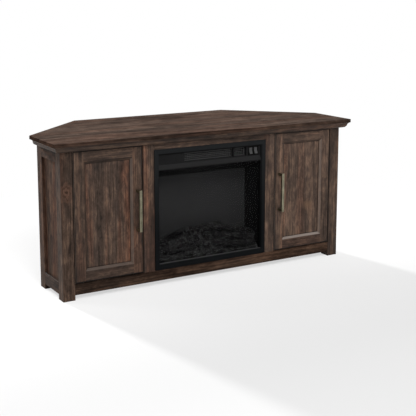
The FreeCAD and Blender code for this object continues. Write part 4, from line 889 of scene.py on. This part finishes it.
def mesh_from(name, form, smooth=False):
    bmesh.ops.recalc_face_normals(form, faces=form.faces)
    mesh = bpy.data.meshes.new(name)
    form.to_mesh(mesh)
    form.free()
    if smooth:
        mesh.polygons.foreach_set("use_smooth", [True] * len(mesh.polygons))
    return mesh


def join_loops(form, near, far):
    """Fills the band between two loops of vertices."""
    for side in range(len(near)):
        after = (side + 1) % len(near)
        form.faces.new((near[side], near[after], far[after], far[side]))


def close_end(form, rim, inward):
    """Caps a log with rings that dish inwards."""
    centre = sum((vertex.co for vertex in rim), Vector()) / len(rim)
    outer = rim
    for shrink, depth in END_DISHES:
        inner = [form.verts.new(centre + (vertex.co - centre) * shrink + inward * depth) for vertex in rim]
        join_loops(form, outer, inner)
        outer = inner
    form.faces.new(outer)


def bark_share(spot, seed):
    """How far the bark stands out from the round, as a share of the radius."""
    offset = Vector((seed, 2.0 * seed, 0.0))
    lump = 0.0
    for pitch, share in BARK_LUMP_WAVES:
        lump += share * noise.noise(spot * pitch + offset)
    drawn = Vector((spot.x * CREASE_DRAW, spot.y, spot.z))
    crease = 0.0
    for pitch, share in BARK_CREASE_WAVES:
        groove = noise.noise(drawn * pitch + offset)
        crease += share * max(0.0, 1.0 - CREASE_SHARPNESS * abs(groove))
    return BARK_LUMP * lump - BARK_CREASE * crease


def log_mesh(name, start, end, radius, tip_radius, broken, seed):
    """A bent log with creased bark, dished ends and, where asked, a broken tapering tip."""
    start = Vector(start)
    run = Vector(end) - start
    along = run.normalized()
    across = along.cross(Vector((0.0, 0.0, 1.0))).normalized()
    upward = across.cross(along)
    form = bmesh.new()
    rings = []
    for ring in range(LOG_RINGS + 1):
        share = ring / LOG_RINGS
        to_tip = run.length * (1.0 - share)
        bend = upward * (LOG_BEND * math.sin(math.pi * share + seed))
        base = radius + (tip_radius - radius) * share
        edge = min(share * run.length, to_tip)
        rounding = 1.0 - END_ROUNDING * math.exp(-edge / END_ROUNDING_RUN)
        tip = max(0.0, 1.0 - to_tip / broken)
        taper = 1.0 - TIP_TAPER * tip ** TIP_CURVE
        loop = []
        for side in range(LOG_SIDES):
            turn = 2.0 * math.pi * side / LOG_SIDES
            spot = Vector((share * run.length / radius, math.cos(turn), math.sin(turn)))
            wall = base * rounding * taper * (1.0 + bark_share(spot, seed))
            jag_spot = Vector((seed, JAG_PITCH * spot.y, JAG_PITCH * spot.z))
            jag = TIP_JAG * broken * tip * noise.noise(jag_spot)
            centre = start + run * share + along * jag + bend
            loop.append(form.verts.new(centre + across * (wall * spot.y) + upward * (wall * spot.z)))
        rings.append(loop)
    for near, far in zip(rings, rings[1:]):
        join_loops(form, near, far)
    close_end(form, rings[0], along)
    close_end(form, rings[-1], -along)
    return mesh_from(name, form, smooth=True)


# Each log: look, start, end, radius, radius at the tip, length of the broken tip, and seed
LOGS = {
    "log_left": (charred, (-0.2065, -0.168, 0.124), (-0.0860, -0.168, 0.181), 0.016, 0.010, 0.040, 1.7),
    "log_middle": (bark, (-0.075, -0.160, 0.156), (0.075, -0.160, 0.166), 0.022, 0.020, SAWN, 4.1),
    "log_right": (bark, (0.2065, -0.174, 0.118), (0.0305, -0.174, 0.155), 0.024, 0.027, SAWN, 6.3),
    "log_front": (bark, (0.2065, -0.193, 0.094), (0.0605, -0.193, 0.100), 0.013, 0.015, SAWN, 9.2),
    "log_branch": (charred, (-0.182, -0.198, 0.110), (-0.054, -0.198, 0.116), 0.010, 0.008, SAWN, 3.3),
}
for name, (look, start, end, radius, tip_radius, broken, log_seed) in LOGS.items():
    mesh = log_mesh(name, start, end, radius, tip_radius, broken, log_seed)
    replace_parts(new_piece(name, mesh, look, "cabinet"), "log_set")

bed_low, bed_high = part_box("ember_bed")
bed_depth = bed_high.y - bed_low.y
slope_end = bed_low.y + HEAP_FRONT_RUN


def along_points(place, points):
    """Height at a place along a line of (place, height) points."""
    for (start, low), (end, high) in zip(points, points[1:]):
        if place <= end:
            return low + (high - low) * (place - start) / (end - start)
    return points[-1][1]


def bed_height(x, y):
    """Height of the ember bed: a ramp over the full width and a heap on the left."""
    inward = max(0.0, y - bed_low.y)
    ramp = along_points(inward, (
        (0.0, BED_FRONT_HEIGHT), (bed_depth / 2.0, BED_CROWN_HEIGHT), (bed_depth, BED_BACK_HEIGHT),
    ))
    crest = HEAP_FRONT_RUN + HEAP_CREST_RUN
    heap = along_points(inward, (
        (0.0, BED_FRONT_HEIGHT), (HEAP_FRONT_RUN, HEAP_HEIGHT), (crest, HEAP_HEIGHT),
        (bed_depth, BED_BACK_HEIGHT),
    ))
    end = along_points(x, (
        (bed_low.x, HEAP_LEFT_HEIGHT), (HEAP_CREST_START, HEAP_HEIGHT), (HEAP_CREST_END, HEAP_HEIGHT),
        (HEAP_END, BED_FRONT_HEIGHT), (bed_high.x, 0.0),
    ))
    spot = Vector((x * BED_LUMP_PITCH, y * BED_LUMP_PITCH, BED_LUMP_LAYER))
    lumps = noise.noise(spot) + BED_FINE_SHARE * noise.noise(spot * BED_FINE_PITCH) - BED_SINK
    return bed_low.z + max(ramp, min(heap, end)) + BED_ROUGHNESS * lumps


def bed_mesh():
    """The rough top of the ember bed, closed by walls down to a flat foot."""
    form = bmesh.new()
    grid = []
    for row in range(BED_ROWS + 1):
        y = bed_low.y + bed_depth * row / BED_ROWS
        line = []
        for column in range(BED_COLUMNS + 1):
            x = bed_low.x + (bed_high.x - bed_low.x) * column / BED_COLUMNS
            line.append(form.verts.new((x, y, bed_height(x, y))))
        grid.append(line)
    for near, far in zip(grid, grid[1:]):
        for column in range(BED_COLUMNS):
            form.faces.new((near[column], near[column + 1], far[column + 1], far[column]))
    rim = grid[0] + [line[-1] for line in grid[1:]] + grid[-1][-2::-1] + [line[0] for line in grid[-2:0:-1]]
    foot = [form.verts.new((vertex.co.x, vertex.co.y, bed_low.z)) for vertex in rim]
    join_loops(form, rim, foot)
    form.faces.new(foot)
    return mesh_from("ember_bed_surface", form, smooth=True)


def add_chunk(form, dice, index, centre, size):
    """Adds one rough lump of coal at a place."""
    stretch = Vector([dice.uniform(*limits) for limits in CHUNK_STRETCH])
    turn = Euler([dice.uniform(*limits) for limits in CHUNK_TURN])
    offset = Vector((index * CHUNK_STEP, 0.0, 0.0))
    made = bmesh.ops.create_icosphere(form, subdivisions=CHUNK_SUBDIVISIONS, radius=size)
    for vertex in made["verts"]:
        wobble = 1.0 + CHUNK_WOBBLE * noise.noise(vertex.co * (CHUNK_WOBBLE_PITCH / size) + offset)
        shaped = vertex.co * stretch * wobble
        shaped.rotate(turn)
        vertex.co = centre + shaped


def chunk_mesh():
    """Loose lumps of coal over the bed, most of them on the slope at its front."""
    dice = random.Random(CHUNK_SEED)
    form = bmesh.new()
    for index in range(CHUNK_COUNT):
        size = dice.uniform(*CHUNK_SIZES)
        margin = CHUNK_MARGIN * size
        x = dice.uniform(bed_low.x + margin, bed_high.x - margin)
        if dice.random() < FRONT_CHUNKS:
            y = dice.uniform(bed_low.y + margin, slope_end)
        else:
            y = dice.uniform(slope_end, bed_high.y - margin)
        centre = Vector((x, y, bed_height(x, y) + CHUNK_LIFT * size))
        add_chunk(form, dice, index, centre, size)
    return mesh_from("ember_chunks", form)


def lump_mesh():
    """Coal that clings to the upper front side of the middle log."""
    dice = random.Random(LUMP_SEED)
    form = bmesh.new()
    start, end, radius = LOGS["log_middle"][1:4]
    for index in range(LUMP_COUNT):
        along = Vector(start).lerp(Vector(end), dice.uniform(*LUMP_SPAN))
        turn = dice.uniform(*LUMP_TURNS)
        outward = Vector((0.0, -math.cos(turn), math.sin(turn)))
        add_chunk(form, dice, index, along + outward * (LUMP_DEPTH * radius), dice.uniform(*LUMP_SIZES))
    return mesh_from("log_lumps", form)


bed = new_piece("ember_bed_surface", bed_mesh(), embers, "cabinet")
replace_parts(bed, "ember_bed")
chunks = new_piece("ember_chunks", chunk_mesh(), embers, "cabinet")
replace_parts(chunks, "ember_bed")
lumps = new_piece("log_lumps", lump_mesh(), embers, "cabinet")
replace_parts(lumps, "log_set")


# Floor, world, lights and camera

def seen_rays(tree):
    """1 for camera, glossy and transmission rays, which see the plain white surroundings."""
    path = tree.nodes.new("ShaderNodeLightPath")
    total = None
    for ray in ("Is Camera Ray", "Is Glossy Ray", "Is Transmission Ray"):
        if total is None:
            total = path.outputs[ray]
            continue
        larger = tree.nodes.new("ShaderNodeMath")
        larger.operation = "MAXIMUM"
        tree.links.new(total, larger.inputs[0])
        tree.links.new(path.outputs[ray], larger.inputs[1])
        total = larger.outputs["Value"]
    return total


def over_floor(tree, operation, place, start, end, near=0.0, far=1.0):
    """A value that goes from near to far over the floor, by distance from a place or along a heading."""
    spot = tree.nodes.new("ShaderNodeTexCoord")
    measure = tree.nodes.new("ShaderNodeVectorMath")
    measure.operation = operation
    tree.links.new(spot.outputs["Object"], measure.inputs[0])
    measure.inputs[1].default_value = place
    fade = tree.nodes.new("ShaderNodeMapRange")
    fade.interpolation_type = "SMOOTHSTEP"
    fade.inputs["From Min"].default_value = start
    fade.inputs["From Max"].default_value = end
    fade.inputs["To Min"].default_value = near
    fade.inputs["To Max"].default_value = far
    tree.links.new(measure.outputs["Value"], fade.inputs["Value"])
    return fade.outputs["Result"]


def make_floor():
    """A pale floor that takes the shadow and fades into the white around it."""
    bpy.ops.mesh.primitive_plane_add(size=2.0 * FLOOR_HALF, location=(0.0, 0.0, 0.0))
    floor = bpy.context.object
    floor.name = "floor"
    material = bpy.data.materials.new("pale_floor")
    material.use_nodes = True
    tree = material.node_tree
    tree.nodes.remove(tree.nodes["Principled BSDF"])
    plain = tree.nodes.new("ShaderNodeBsdfDiffuse")
    plain.inputs["Color"].default_value = (FLOOR_COLOUR, FLOOR_COLOUR, FLOOR_COLOUR, 1.0)
    seen = tree.nodes.new("ShaderNodeBsdfDiffuse")
    seen.inputs["Color"].default_value = (FLOOR_SHARE, FLOOR_SHARE, FLOOR_SHARE, 1.0)
    lift = tree.nodes.new("ShaderNodeEmission")
    # Painted shadow: the glow weakens towards the front, which darkens the shadow there
    strength = over_floor(tree, "DOT_PRODUCT", LIFT_HEADING, LIFT_START, LIFT_END, NEAR_LIFT, FAR_LIFT)
    tree.links.new(strength, lift.inputs["Strength"])
    shown = tree.nodes.new("ShaderNodeAddShader")
    tree.links.new(seen.outputs["BSDF"], shown.inputs[0])
    tree.links.new(lift.outputs["Emission"], shown.inputs[1])
    white = tree.nodes.new("ShaderNodeEmission")
    white.inputs["Strength"].default_value = 1.0
    fade = tree.nodes.new("ShaderNodeMixShader")
    whiter = over_floor(tree, "DISTANCE", FADE_MIDDLE, FADE_START, FADE_END)
    tree.links.new(whiter, fade.inputs["Fac"])
    tree.links.new(shown.outputs["Shader"], fade.inputs[1])
    tree.links.new(white.outputs["Emission"], fade.inputs[2])
    choice = tree.nodes.new("ShaderNodeMixShader")
    tree.links.new(seen_rays(tree), choice.inputs["Fac"])
    tree.links.new(plain.outputs["BSDF"], choice.inputs[1])
    tree.links.new(fade.outputs["Shader"], choice.inputs[2])
    tree.links.new(choice.outputs["Shader"], tree.nodes["Material Output"].inputs["Surface"])
    floor.data.materials.append(material)


def make_world():
    """Surroundings that look white and give a weaker light."""
    world = bpy.data.worlds.new("studio")
    bpy.context.scene.world = world
    world.use_nodes = True
    tree = world.node_tree
    strength = tree.nodes.new("ShaderNodeMapRange")
    strength.inputs["To Min"].default_value = WORLD_LIGHT
    strength.inputs["To Max"].default_value = 1.0
    tree.links.new(seen_rays(tree), strength.inputs["Value"])
    background = tree.nodes["Background"]
    background.inputs["Color"].default_value = (1.0, 1.0, 1.0, 1.0)
    tree.links.new(strength.outputs["Result"], background.inputs["Strength"])


def make_lamp(name, place, power, size):
    """A square lamp that faces the stand."""
    lamp = bpy.data.lights.new(name, "AREA")
    lamp.energy = power
    lamp.size = size
    holder = bpy.data.objects.new(name, lamp)
    holder.location = place
    holder.rotation_euler = (Vector(LIGHT_AIM) - Vector(place)).to_track_quat("-Z", "Y").to_euler()
    bpy.context.scene.collection.objects.link(holder)


def make_sun():
    """A low sun behind the stand, which lays its shadow out to the front."""
    sun = bpy.data.lights.new("sun", "SUN")
    sun.energy = SUN_STRENGTH
    sun.angle = SUN_SPREAD
    holder = bpy.data.objects.new("sun", sun)
    holder.rotation_euler = Vector(SUN_TRAVEL).to_track_quat("-Z", "Y").to_euler()
    bpy.context.scene.collection.objects.link(holder)


def make_camera():
    """The photograph's view of the stand."""
    camera = bpy.data.cameras.new("camera")
    camera.sensor_width = SENSOR_WIDTH
    camera.lens = CAMERA_FOCAL_PIXELS * SENSOR_WIDTH / IMAGE_WIDTH
    camera.shift_y = CAMERA_SHIFT
    holder = bpy.data.objects.new("camera", camera)
    holder.location = CAMERA_PLACE
    holder.rotation_euler = (math.pi / 2.0 - CAMERA_PITCH, 0.0, -CAMERA_YAW)
    bpy.context.scene.collection.objects.link(holder)
    bpy.context.scene.camera = holder


make_floor()
make_world()
make_lamp("key", KEY_PLACE, KEY_POWER, KEY_SIZE)
make_lamp("side", SIDE_PLACE, SIDE_POWER, SIDE_SIZE)
make_lamp("overhead", OVERHEAD_PLACE, OVERHEAD_POWER, OVERHEAD_SIZE)
make_sun()
make_camera()
bpy.context.scene.view_settings.view_transform = "Standard"
